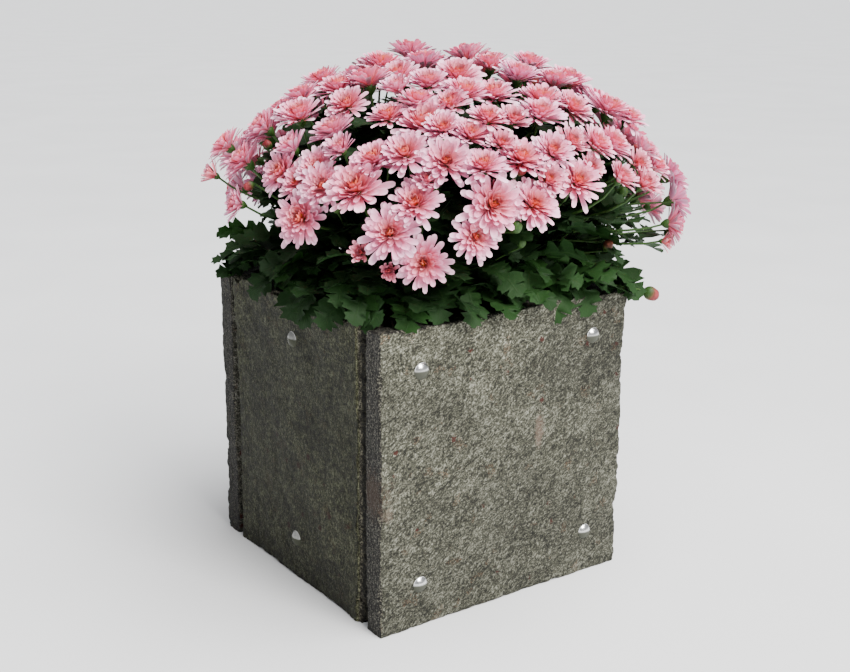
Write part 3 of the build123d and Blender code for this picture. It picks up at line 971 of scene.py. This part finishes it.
# %% [markdown]
# ## Where the blooms sit
# The dome is a flattened ball that leans a little to one side of the box. On the near side its
# blooms are placed one by one, as a gardener would remember them: how far round, how far out, how
# high and how wide. Left to a formula, they would be too even. The hidden side may be even, so it
# is filled by the golden angle wherever no placed bloom is near. Its lower edge isn't level: it
# hangs low over the near corner, is high above the front slab, and comes down at the far right.

# %% Bloom places
DOME_MIDDLE = np.array([24.0, -17.0, 388.0])
DOME_RADIUS, DOME_HEIGHT = 222.0, 136.0
DOME_SIZE = np.array([DOME_RADIUS, DOME_RADIUS, DOME_HEIGHT])
# turn from the front towards the right (degrees), reach and height (mm), diameter (mm)
OPEN_BLOOMS = [
    (-116, 26, 523, 49), (-76, 78, 515, 47), (-78, 112, 505, 52), (-89, 129, 499, 47),
    (-128, 126, 500, 45), (-115, 147, 490, 46), (-90, 171, 475, 48), (-73, 177, 470, 46),
    (-114, 188, 461, 50), (-111, 211, 431, 51), (-121, 221, 436, 45), (-84, 210, 432, 46),
    (-71, 206, 439, 45), (-58, 214, 424, 61), (-67, 214, 423, 46), (-72, 222, 394, 53),
    (-56, 196, 452, 51), (-47, 196, 452, 48), (-44, 164, 480, 62), (-48, 138, 494, 46),
    (-46, 114, 505, 42), (-44, 217, 417, 48), (-49, 222, 388, 53), (-42, 218, 362, 48),
    (104, 26, 525, 50), (-30, 78, 515, 51), (-30, 129, 499, 48), (-17, 120, 503, 47),
    (-24, 163, 481, 42), (-30, 177, 470, 44), (5, 98, 510, 46), (3, 135, 496, 52),
    (-6, 161, 482, 46), (13, 152, 487, 45), (34, 163, 480, 52), (-17, 195, 453, 50),
    (-8, 193, 455, 42), (8, 191, 457, 42), (17, 191, 457, 48), (-37, 200, 447, 49),
    (-28, 203, 443, 45), (-3, 210, 432, 48), (46, 223, 413, 46), (43, 231, 391, 49),
    (40, 231, 368, 43), (-26, 218, 414, 57), (-16, 218, 415, 48), (-30, 222, 387, 43),
    (34, 212, 429, 38), (-38, 174, 472, 40), (-73, 153, 487, 42), (-36, 147, 490, 40),
    (-56, 160, 482, 40), (39, 179, 469, 40), (42, 106, 507, 46), (51, 153, 487, 46)]
HALF_OPEN_BLOOMS = [
    (-76, 213, 425, 38), (-58, 126, 500, 36), (-41, 208, 436, 33), (-99, 222, 392, 37),
    (-83, 196, 452, 38), (-16, 164, 480, 36), (0, 187, 461, 37), (29, 202, 445, 36),
    (-11, 209, 434, 39), (12, 212, 429, 37), (19, 217, 417, 36), (3, 204, 441, 31),
    (21, 208, 435, 33), (-65, 195, 453, 34), (-22, 186, 462, 34)]
YOUNG_BLOOMS = [
    (-118, 233, 408, 31), (-50, 214, 353, 28), (-56, 220, 369, 31), (38, 221, 351, 24),
    (-52, 190, 446, 22), (-80, 205, 420, 18), (-26, 200, 428, 18), (5, 175, 462, 22)]


def compass(turn):
    """The level direction at a turn round the plant: 0 faces the front, and 90 degrees the right."""
    return np.stack([np.sin(turn), -np.cos(turn), np.zeros_like(turn)], axis=-1)


known = [OPEN_BLOOMS, HALF_OPEN_BLOOMS, YOUNG_BLOOMS]
known_kind = np.repeat([0, 1, 2], [len(blooms) for blooms in known])
known = np.array(sum(known, []), dtype=float)
known_middle = compass(np.radians(known[:, 0])) * known[:, 1:2] + DOME_MIDDLE * np.array([1, 1, 0])
known_middle[:, 2] = known[:, 2]
print("placed blooms:", len(known))

# %% [markdown]
# The golden angle fill tries places all over the dome, and keeps those that are turned away from
# the camera, above the lower edge and not close to a placed bloom.

# %% Bloom fill
TRIES, LOWEST_SINE = 190, -0.30
ROOM = 37.0                 # least distance between a fill bloom and a placed one, mm
AWAY = 0.30                 # a fill bloom faces the camera by less than this share
SWELL = 1.06                # every bloom's petals reach a little past its stated diameter
EDGE_TURN = [-180, -140, -110, -75, -50, -28, 0, 20, 40, 54, 80, 120, 150, 180]
EDGE_HEIGHT = [376, 372, 384, 386, 352, 384, 418, 420, 392, 356, 366, 376, 370, 376]
level = 1 - (np.arange(TRIES) + 0.5) / TRIES * (1 - LOWEST_SINE)
tried_turn = np.arange(TRIES) * GOLDEN_TURN + random.normal(0, 0.06, TRIES)
tried_turn = (tried_turn + np.pi) % (2 * np.pi) - np.pi
tried = DOME_MIDDLE + np.concatenate([
    compass(tried_turn)[:, :2] * DOME_RADIUS * np.sqrt(1 - level ** 2)[:, None],
    (DOME_HEIGHT * level)[:, None]], axis=1)
outward = unit((tried - DOME_MIDDLE) / DOME_SIZE ** 2)
kept = tried[:, 2] > np.interp(np.degrees(tried_turn), EDGE_TURN, EDGE_HEIGHT)
kept &= outward @ np.array(back) < AWAY
kept &= np.linalg.norm(tried[:, None] - known_middle[None], axis=-1).min(axis=1) > ROOM
fill = tried[kept] + random.normal(0, 4, (kept.sum(), 3))
fill_kind = np.where(random.random(len(fill)) < 0.14, 1, 0)
fill_size = np.where(fill_kind == 1, random.uniform(33, 40, len(fill)), random.normal(50, 4, len(fill)))

bloom_middle = np.concatenate([known_middle, fill])
bloom_kind = np.concatenate([known_kind, fill_kind])
bloom_size = np.concatenate([known[:, 3], fill_size]) * SWELL
count = len(bloom_middle)
from_middle = bloom_middle - DOME_MIDDLE
bloom_turn = np.arctan2(from_middle[:, 0], -from_middle[:, 1])
facing = unit(from_middle / DOME_SIZE ** 2)
facing = unit(facing + np.array([0, 0, 0.30]) + random.normal(0, 0.15, (count, 3)))
random.random(count)        # spare numbers, drawn so that the later ones stay as they are
bloom_middle = bloom_middle - facing * random.uniform(-4, 5, count)[:, None]
bloom_base = bloom_middle - facing * (bloom_size * 0.22)[:, None]
print("blooms:", count)

# %% [markdown]
# ## Petal colour
# The florets are pale lilac pink at the tip and deepen through salmon to an orange red heart with
# a green gold eye. Three masks drive it: how far along the floret a point is, how far out in the
# head the floret grows, and a tone for the whole bloom, because some are paler and young ones are
# redder. Fine veins run along each floret, from the piece's own UV map.

# %% Petal material
def petal_material():
    """Chrysanthemum florets, coloured by their masks."""
    material, tree, shader = new_material("petal_pink", Roughness=0.6, Specular_IOR_Level=0.35)
    along, outward, tone = mask(tree, "along"), mask(tree, "outward"), mask(tree, "tone")
    uv = add(tree, "ShaderNodeUVMap", uv_map="surface")["UV"]
    veins = noise(mapped(uv, scale=(9, 0.8, 1)), 1.0, 2.0, 0.6)
    across = maths("FRACT", add(tree, "ShaderNodeSeparateXYZ", {"Vector": uv})["X"])
    # Paler floret edges: partly the floret's own paler edge, partly a painted highlight along it.
    pale_edge_and_highlight = maths("POWER", maths("ABSOLUTE", across - 0.5), 3.0)
    reach = outward * (0.32 + along * 0.80) + along * 0.07
    reach = (reach + (veins - 0.5) * 0.14 + pale_edge_and_highlight * (outward * 2.0)) * 0.8
    open_colour = ramp(reach, [
        (0.00, (0.32, 0.30, 0.04)), (0.06, (0.62, 0.27, 0.04)), (0.12, (0.66, 0.10, 0.04)),
        (0.21, (0.80, 0.17, 0.12)), (0.34, (0.83, 0.18, 0.23)), (0.55, (0.85, 0.23, 0.39)),
        (0.78, (0.96, 0.53, 0.68)), (0.96, (1.00, 0.80, 0.86))])
    young_colour = ramp(reach, [
        (0.0, (0.16, 0.010, 0.008)), (0.20, (0.42, 0.032, 0.032)), (0.48, (0.74, 0.14, 0.14)),
        (0.80, (0.90, 0.36, 0.40))])
    colour = mix(tone, young_colour, open_colour)
    colour = mix(mask(tree, "lilac") * (outward * 0.45), colour, (0.78, 0.44, 0.72))
    colour = mix(backfacing(tree) * 0.4, colour, (0.80, 0.42, 0.60))
    feed(shader, Base_Color=colour)
    bumped(shader, veins, 0.35, 0.35 * MM)
    return material


petals = petal_material()
print("material:", petals.name)

# %% [markdown]
# A bloom is one template turned to its place: six open templates and a few younger ones are enough,
# because each also gets its own size and turn. The florets go into five pieces, side by side round
# the dome, to keep every mesh light.

# %% Blooms
def turned_frames(facing, spin):
    """For each facing direction, a 3 x 3 frame with facing as its third axis, spun about it."""
    helper = np.where(np.abs(facing[:, 2:]) > 0.9, np.array([[1.0, 0, 0]]), np.array([[0, 0, 1.0]]))
    first = unit(np.cross(helper, facing))
    first = np.cos(spin)[:, None] * first + np.sin(spin)[:, None] * np.cross(facing, first)
    return np.stack([first, np.cross(facing, first), facing], axis=1)


FLORETS = (108, 88, 52)
OPENNESS = ((0.84, 0.88, 0.92, 0.96, 1.0, 1.0), (0.66, 0.72, 0.78), (0.3, 0.4, 0.5))
templates = [[bloom_head(openness, florets) for openness in steps]
             for florets, steps in zip(FLORETS, OPENNESS)]
bloom_frames = turned_frames(facing, random.uniform(0, 2 * np.pi, count))
bloom_tone = np.clip(np.array([0.93, 0.62, 0.12])[bloom_kind] + random.normal(0, 0.10, count), 0, 1)
bloom_lilac = np.clip(random.normal(0.15, 0.35, count), 0, 1)


def bloom_piece(name, chosen):
    """All florets of the chosen blooms, as one piece."""
    rows = len(PETAL_ALONG)
    flat = flat_map(PETAL_ALONG)
    parts = []
    for number in chosen:
        pool = templates[bloom_kind[number]]
        template, share = pool[number % len(pool)]
        points = template.reshape(-1, 3) * bloom_size[number] @ bloom_frames[number] + bloom_base[number]
        own_veins = np.repeat(np.floor(random.uniform(0, 30, len(share))), rows * COLUMNS)[:, None]
        parts.append((points, np.tile(flat, (len(share), 1)) + own_veins, np.tile(flat[:, 1], len(share)),
                      np.repeat(share, rows * COLUMNS), np.full(len(points), bloom_tone[number]),
                      np.full(len(points), bloom_lilac[number])))
    points, uv, *masks = (np.concatenate(part) for part in zip(*parts))
    faces = grid_faces(len(points) // (rows * COLUMNS), rows, COLUMNS)
    new_piece(name, points, faces, petals, "planting", ["bloom_canopy"],
              dict(zip(("along", "outward", "tone", "lilac"), masks)), uv)


BLOOM_PIECES = 5
for number, chosen in enumerate(np.array_split(np.argsort(bloom_turn), BLOOM_PIECES)):
    bloom_piece(f"blooms_{number + 1}", chosen)

# %% [markdown]
# ## Tubes: stems, calyxes and buds
# A stem, the green cup under a bloom and a round bud are all rings carried along a path, so one
# function makes them: a path of points, a radius at each, and a ring turned square to the path. A
# curve object with a bevel would do for stems, but arrays keep a hundred of them in one mesh.

# %% Tubes
def tubes(paths, radii, sides):
    """Points and faces of n tubes along n paths of m points, with m radii each.

    Ring directions are the path's tangent crossed with a fixed helper, then with each other.
    """
    tangent = unit(np.gradient(paths, axis=1))
    upright = np.abs(tangent[:, :1, 2:]) > 0.85
    helper = np.where(upright, np.array([[[1.0, 0.2, 0]]]), np.array([[[0, 0, 1.0]]]))
    first = unit(np.cross(np.broadcast_to(helper, tangent.shape), tangent))
    second = np.cross(tangent, first)
    turn = (np.arange(sides) * 2 * np.pi / sides)[:, None]
    ring = np.cos(turn) * first[:, :, None] + np.sin(turn) * second[:, :, None]
    points = paths[:, :, None] + radii[:, :, None, None] * ring
    return points.reshape(-1, 3), grid_faces(len(paths), paths.shape[1], sides, closed=True)


def bent_paths(start, first, second, end, steps):
    """Cubic curves from start to end, which leave towards first and arrive from second."""
    t = np.linspace(0, 1, steps)[None, :, None]
    return ((1 - t) ** 3 * start[:, None] + 3 * (1 - t) ** 2 * t * first[:, None]
            + 3 * (1 - t) * t ** 2 * second[:, None] + t ** 3 * end[:, None])


# %% [markdown]
# ## Leaf green
# Chrysanthemum leaves are matt dark green above and greyer below, with a pale midrib and side
# veins. Stems are lighter. The leaf's UV map runs across and along the blade, so the veins are
# drawn as lines in it: the midrib where the across value is a half, and side veins that run
# forward from it.

# %% Green materials
def leaf_material():
    """Leaves with veins, tone by leaf, and paler undersides."""
    material, tree, shader = new_material("leaf_green", Specular_IOR_Level=0.2)
    uv = add(tree, "ShaderNodeUVMap", uv_map="surface")["UV"]
    parts = add(tree, "ShaderNodeSeparateXYZ", {"Vector": uv})
    off_middle = maths("ABSOLUTE", parts["X"] - 0.5)
    midrib = ramp(off_middle, [(0.0, 1.0), (0.045, 0.0)])
    slanted = parts["Y"] * 9.0 - off_middle * 5.0
    side_veins = ramp(maths("PINGPONG", slanted, 0.5), [(0.0, 1.0), (0.09, 0.0)])
    veins = maths("MAXIMUM", midrib, side_veins * 0.6)
    blotch = noise(in_millimetres(object_place(tree)), 0.11, 3.0, 0.6)
    tone = mask(tree, "tone") * 0.7 + blotch * 0.3
    # The low tones are near black; the inner leaves get them as painted shade inside the plant.
    green = ramp(tone, [(0.1, (0.002, 0.009, 0.002)), (0.5, (0.005, 0.026, 0.003)),
                        (0.9, (0.014, 0.066, 0.005))])
    green = mix(veins * 0.30, green, (0.035, 0.085, 0.015))
    green = mix(backfacing(tree) * 0.5, green, (0.018, 0.045, 0.014))
    feed(shader, Base_Color=green, Roughness=0.50 + blotch * 0.25)
    bumped(shader, blotch - veins * 0.6, 0.5, 0.8 * MM)
    return material


def stem_material():
    """Stems, calyxes and buds: green, turning to the mask's red."""
    material, tree, shader = new_material("stem_green", Roughness=0.55, Specular_IOR_Level=0.3)
    streaks = noise(mapped(in_millimetres(object_place(tree)), scale=(0.8, 0.8, 0.12)), 1.0, 2.0, 0.5)
    green = ramp(streaks, [(0.3, (0.012, 0.042, 0.006)), (0.7, (0.040, 0.095, 0.014))])
    red = ramp(streaks, [(0.3, (0.13, 0.010, 0.012)), (0.7, (0.36, 0.05, 0.06))])
    feed(shader, Base_Color=mix(mask(tree, "red"), green, red))
    bumped(shader, streaks, 0.3, 0.4 * MM)
    return material


leaf_green, stem_green = leaf_material(), stem_material()
print("materials:", leaf_green.name, stem_green.name)

# %% [markdown]
# ## Stems
# Each bloom has a stem that leaves the soil near the pot's middle, climbs, and bends out to meet
# the back of the head. The calyx is a short fat tube at its end. Round buds on thin side stems
# fill the gaps, nearly two thirds of them showing red. Four more stand clear of the leaves, and the
# first of those leans out over the box's corner, on a twig that bends round it.

# %% Stems, calyxes and buds
SOIL_RING = 42.0            # stems leave the soil within this radius, mm
STEM_STEPS, TWIG_STEPS, BUD_STEPS, BUD_SIDES = 13, 8, 9, 9
stem_turn = bloom_turn + random.normal(0, 0.3, count)
stem_start = compass(stem_turn) * (SOIL_RING * np.sqrt(random.random(count)))[:, None]
stem_start[:, 2] = soil_high[2] - 3
climbing = stem_start * 1.25 + np.array([0, 0, 95.0]) * random.uniform(0.7, 1.1, count)[:, None]
arriving = bloom_base + np.array([0, 0, -24.0]) - facing * 62
stem_paths = bent_paths(stem_start, climbing, arriving, bloom_base, STEM_STEPS)
stem_radii = np.broadcast_to(np.linspace(2.1, 1.05, STEM_STEPS), stem_paths.shape[:2])

CALYX_STEPS = np.array([-5.0, -3.2, -0.6, 2.4, 4.6, 4.8])
CALYX_RADII = np.array([1.0, 2.6, 4.8, 5.7, 5.2, 0.05])
CALYX_BLOOM = 52            # the bloom diameter that these sizes belong to, mm
calyx_size = (bloom_size / CALYX_BLOOM)[:, None]
calyx_paths = bloom_base[:, None] + facing[:, None] * (CALYX_STEPS * calyx_size)[..., None]

BUD_COUNT = 46
host = random.choice(count, BUD_COUNT, replace=False)
bud_facing = unit(facing[host] + random.normal(0, 0.45, (BUD_COUNT, 3)))
bud_side = unit(np.cross(facing[host], random.normal(0, 1, (BUD_COUNT, 3))))
bud_base = bloom_base[host] + bud_side * random.uniform(20, 30, BUD_COUNT)[:, None] - facing[host] * 4
bud_radius = random.uniform(3.2, 5.6, BUD_COUNT)
bud_red = (random.random(BUD_COUNT) < 0.62) * 1.0
twig_start = stem_paths[host, -5]
# base x, y, z (mm), facing x, y, z, radius (mm), red, twig's start x, y, z (mm)
CLEAR_BUDS = np.array([
    (161, -167, 297, 0.85, -0.15, -0.45, 7.2, 1.0, 50, -105, 322),
    (-6, -170, 361, -0.1, -0.5, 1.0, 4.2, 0.0, -10, -110, 325),
    (120, -150, 339, 0.3, -0.3, 1.0, 5.0, 0.6, 70, -95, 322),
    (117, -170, 396, 0.2, -0.6, 1.0, 4.5, 0.0, 80, -120, 345)])
CORNER_BEND = (104, -165, 312)      # where the first clear bud's twig bends, mm
bud_base = np.concatenate([bud_base, CLEAR_BUDS[:, :3]])
bud_facing = np.concatenate([bud_facing, unit(CLEAR_BUDS[:, 3:6])])
bud_radius = np.concatenate([bud_radius, CLEAR_BUDS[:, 6]])
bud_red = np.concatenate([bud_red, CLEAR_BUDS[:, 7]])
twig_start = np.concatenate([twig_start, CLEAR_BUDS[:, 8:]])

bud_sweep = np.linspace(0.06, np.pi - 0.06, BUD_STEPS)
bud_length = bud_radius[:, None] * 1.25 * (1 - np.cos(bud_sweep))
bud_paths = bud_base[:, None] + bud_facing[:, None] * bud_length[..., None]
bud_mask = bud_red[:, None] * ease(0.3, 0.55, np.linspace(0, 1, BUD_STEPS))
twig_bend = (twig_start + bud_base) / 2 + np.array([0, 0, 4.0])
twig_bend[BUD_COUNT] = CORNER_BEND
twig_paths = bent_paths(twig_start, (twig_start + 2 * twig_bend) / 3, (bud_base + 2 * twig_bend) / 3,
                        bud_base + unit(bud_base - twig_start), TWIG_STEPS)

# paths, radii, sides of each tube's ring and red of each point
green_points, green_faces, reds, start = [], [], [], 0
for paths, radii, sides, red in (
        (stem_paths, stem_radii, 5, 0), (calyx_paths, CALYX_RADII * calyx_size, 9, 0),
        (bud_paths, bud_radius[:, None] * np.sin(bud_sweep) ** 0.8, BUD_SIDES,
         np.repeat(bud_mask.ravel(), BUD_SIDES)),
        (twig_paths, np.full(twig_paths.shape[:2], 0.95), 5, 0)):
    points, faces = tubes(paths, radii, sides)
    green_points.append(points)
    green_faces.append(faces + start)
    reds.append(np.zeros(len(points)) + red)
    start += len(points)
new_piece("stems_and_buds", np.concatenate(green_points), np.concatenate(green_faces), stem_green,
          "planting", ["stem_cluster"], {"red": np.concatenate(reds)})

# %% [markdown]
# ## Leaves
# A leaf has two pairs of toothed lobes and a three-toothed tip, on a short stalk. The lobes are rows
# of the blade where it widens and sweeps forward, and the deep gaps between them are rows where it
# narrows. Eight leaves grow on each stem and turn loosely outward, but those that would stick out
# through the blooms are left off. More grow in a skirt that rolls out over the slabs' top edges and
# hangs down outside.

# %% Leaves
LEAF_ALONG = np.array([0.0, 0.20, 0.25, 0.31, 0.35, 0.39, 0.44, 0.50, 0.56, 0.60, 0.64,
                       0.70, 0.77, 0.81, 0.86, 0.90, 0.94, 1.0])
LEAF_HALF = np.array([0.02, 0.03, 0.14, 0.33, 0.30, 0.13, 0.09, 0.33, 0.47, 0.38, 0.44,
                      0.11, 0.31, 0.23, 0.26, 0.14, 0.12, 0.01])
LEAF_SWEEP = np.array([0.0, 0.0, 0.02, 0.05, 0.10, 0.08, 0.05, 0.05, 0.09, 0.10, 0.14,
                       0.07, 0.05, 0.06, 0.09, 0.05, 0.04, 0.0])


def leaf_set(root, heading, length, pitch, curl, tone):
    """Leaves growing from root towards heading. Returns points, tone and UV per point."""
    n = len(root)
    forward = unit(heading * np.array([1, 1, 0.0]) + np.array([0, 0, 1e-6]))
    side = unit(np.cross(np.broadcast_to(np.array([0, 0, 1.0]), forward.shape), forward))
    roll = random.normal(0, 0.32, n)[:, None]
    side = unit(np.cos(roll) * side + np.sin(roll) * np.array([0, 0, 1.0]))
    uneven = LEAF_HALF * random.normal(1, 0.09, (n, len(LEAF_ALONG)))
    points = blades(root, forward, side, length, length * random.uniform(0.62, 0.8, n), pitch, curl,
                    random.uniform(0.05, 0.34, n), LEAF_ALONG, uneven, LEAF_SWEEP)
    wave = np.sin(LEAF_ALONG[None, :, None] * 21 + random.uniform(0, 6, n)[:, None, None])
    points[..., 2] += length[:, None, None] * 0.018 * wave * np.array([1, 0.3, 0, -0.3, -1.0])
    return (points.reshape(-1, 3), np.repeat(tone, len(LEAF_ALONG) * COLUMNS),
            np.tile(flat_map(LEAF_ALONG), (n, 1)))


STEM_LEAVES = 8             # on each stem
LEAF_REACH = 34             # how far a leaf is taken to reach from its root, mm
step = np.linspace(0.30, 0.88, STEM_LEAVES) * (STEM_STEPS - 1)
lower = np.floor(step).astype(int)
between = (step - lower)[None, :, None]
leaf_root = stem_paths[:, lower] * (1 - between) + stem_paths[:, lower + 1] * between
leaf_heading = compass(bloom_turn[:, None] + random.normal(0, 0.9, (count, STEM_LEAVES)))
leaf_root, leaf_heading = leaf_root.reshape(-1, 3), leaf_heading.reshape(-1, 3)
tip = leaf_root + leaf_heading * LEAF_REACH + np.array([0, 0, 12.0])
tip_level = np.linalg.norm((tip - DOME_MIDDLE) / DOME_SIZE, axis=1)
under_blooms = tip_level < np.where(leaf_root[:, 2] > 360, 0.84, 1.0)
leaf_root, leaf_heading = leaf_root[under_blooms], leaf_heading[under_blooms]
n = len(leaf_root)
stem_leaves = leaf_set(leaf_root, leaf_heading, random.uniform(38, 56, n), random.uniform(0.0, 0.8, n),
                       -random.uniform(0.3, 1.1, n), random.uniform(0.1, 0.75, n))
print("leaves on stems:", n)

# %% [markdown]
# The skirt starts inside the box's mouth. A leaf there has to climb over the rough top edge before
# it may droop, so its root is kept above the edge and its pitch starts upward.

# %% Leaf skirt
SKIRT = 260                 # leaves
SKIRT_RADIUS = 150          # a skirt root lies in the box's mouth, and within this radius, mm
skirt_turn = np.linspace(-np.pi, np.pi, SKIRT, endpoint=False) + random.normal(0, 0.05, SKIRT)
box_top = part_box("front_slab")[1].z / MM
inner_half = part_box("right_upper_strap")[1].x / MM
reach_out = random.uniform(0.72, 1.12, SKIRT)
square = inner_half / np.abs(compass(skirt_turn)).max(axis=1)
skirt_root = compass(skirt_turn) * (np.minimum(square, SKIRT_RADIUS) * reach_out)[:, None]
skirt_root[:, 2] = box_top + random.uniform(8, 44, SKIRT)
skirt_heading = compass(skirt_turn + random.normal(0, 0.35, SKIRT))
skirt = leaf_set(skirt_root, skirt_heading, random.uniform(42, 62, SKIRT),
                 random.uniform(0.05, 0.55, SKIRT), -random.uniform(0.5, 1.5, SKIRT),
                 random.uniform(0.25, 1.0, SKIRT))
print("skirt leaves:", SKIRT)

# %% [markdown]
# A few leaves are placed one by one: those that hang over the slabs' edges and catch the light.

# %% Hanging leaves
# root x, y, z (mm), turn (degrees), length (mm), pitch and curl (radians), tone
HANGING = np.array([
    (-88, -134, 326, -52, 54, -0.20, -0.95, 1.00), (74, -128, 313, -29, 58, 0.10, -1.95, 0.85),
    (99, -126, 311, -20, 54, 0.10, -1.80, 0.80), (88, -122, 318, -50, 50, 0.15, -1.70, 0.90),
    (150, -116, 326, -20, 68, -0.15, -1.10, 0.75), (28, -142, 350, -38, 52, -0.65, -0.60, 1.00),
    (12, -140, 342, -60, 42, -0.60, -0.60, 0.95), (-12, -134, 345, -19, 50, -0.50, -0.60, 0.75),
    (-47, -142, 330, -31, 30, -0.60, -0.60, 0.85), (-126, 105, 344, -145, 48, 0.05, -0.30, 0.55),
    (-124, 91, 338, -66, 48, -0.25, -0.90, 0.45), (-126, 6, 314, -62, 58, 0.10, -1.60, 0.45),
    (-126, 44, 315, -84, 54, 0.15, -1.50, 0.40), (-127, -40, 314, -74, 58, 0.10, -1.60, 0.55),
    (-125, -74, 316, -58, 56, 0.10, -1.50, 0.60), (-124, -104, 318, -48, 48, 0.05, -1.20, 0.65),
    (-40, -128, 318, -10, 52, 0.00, -1.20, 0.70), (128, -128, 322, 20, 56, 0.05, -1.10, 0.70),
    (132, -60, 322, 70, 56, 0.10, -1.20, 0.60), (134, 20, 320, 95, 58, 0.10, -1.40, 0.60)])
hanging = leaf_set(HANGING[:, :3], compass(np.radians(HANGING[:, 3])), HANGING[:, 4], HANGING[:, 5],
                   HANGING[:, 6], HANGING[:, 7])
print("hanging leaves:", len(HANGING))

# %% [markdown]
# Leaves that share one material and one body are one piece, here all the outer ones.

# %% Leaf piece
def leaf_piece(name, sets, stands_for):
    """Several sets of leaves as one piece."""
    points, tone, uv = (np.concatenate(part) for part in zip(*sets))
    rows = len(LEAF_ALONG)
    faces = grid_faces(len(points) // (rows * COLUMNS), rows, COLUMNS)
    new_piece(name, points, faces, leaf_green, "planting", stands_for, {"tone": tone}, uv)


leaf_piece("leaves", (stem_leaves, skirt, hanging), ["leaf_mound", "leaf_crown"])

# %% [markdown]
# Under the blooms the plant is closed by its leaves, so that nothing shows through it from any
# side. Some lie on a smaller dome inside the dome of blooms, one every golden angle, others fill the
# crown over the pot, and the last ones close the fuller side of the plant, which leans that way.

# %% Inner leaves
# These leaves get lower tones than the outer ones: painted shade inside the plant.
INNER_LEAVES, CROWN_LEAVES = 440, 300
CROWN_RADIUS, CROWN_HEIGHTS = 138.0, (312.0, 392.0)
SIDE_LEAVES, SIDE_LOW, SIDE_HIGH = 70, (92.0, -112.0, 318.0), (158.0, 0.0, 374.0)
inner_level = 1 - (np.arange(INNER_LEAVES) + 0.5) / INNER_LEAVES * 1.25
inner_turn = np.arange(INNER_LEAVES) * GOLDEN_TURN + random.normal(0, 0.2, INNER_LEAVES)
inner_share = random.uniform(0.54, 0.70, INNER_LEAVES)
inner_ring = np.sqrt(1 - inner_level ** 2)
inner_root = DOME_MIDDLE + compass(inner_turn) * (DOME_RADIUS * inner_ring * inner_share)[:, None]
inner_root[:, 2] += DOME_HEIGHT * inner_level * inner_share
inner_heading = compass(inner_turn + random.normal(0, 0.6, INNER_LEAVES))
inner = leaf_set(inner_root, inner_heading, random.uniform(40, 56, INNER_LEAVES),
                 0.75 * inner_ring + random.uniform(-0.25, 0.25, INNER_LEAVES),
                 -random.uniform(0.4, 1.5, INNER_LEAVES), random.uniform(0.05, 0.5, INNER_LEAVES))

crown_turn = np.arange(CROWN_LEAVES) * GOLDEN_TURN
crown_reach = CROWN_RADIUS * np.sqrt((np.arange(CROWN_LEAVES) + 0.5) / CROWN_LEAVES)
crown_root = compass(crown_turn) * crown_reach[:, None]
crown_root[:, 2] = random.uniform(*CROWN_HEIGHTS, CROWN_LEAVES)
crown = leaf_set(crown_root, compass(crown_turn + random.normal(0, 0.8, CROWN_LEAVES)),
                 random.uniform(38, 54, CROWN_LEAVES), random.uniform(-0.2, 1.1, CROWN_LEAVES),
                 -random.uniform(0.2, 1.2, CROWN_LEAVES), random.uniform(0.1, 0.7, CROWN_LEAVES))

side_root = random.uniform(SIDE_LOW, SIDE_HIGH, (SIDE_LEAVES, 3))
side_leaves = leaf_set(side_root, compass(random.uniform(-1.5, 0.7, SIDE_LEAVES)),
                       random.uniform(40, 54, SIDE_LEAVES), random.uniform(-0.9, 0.6, SIDE_LEAVES),
                       -random.uniform(0.2, 1.1, SIDE_LEAVES), random.uniform(0.1, 0.5, SIDE_LEAVES))
leaf_piece("inner_leaves", (inner, crown, side_leaves), ["leaf_mound"])
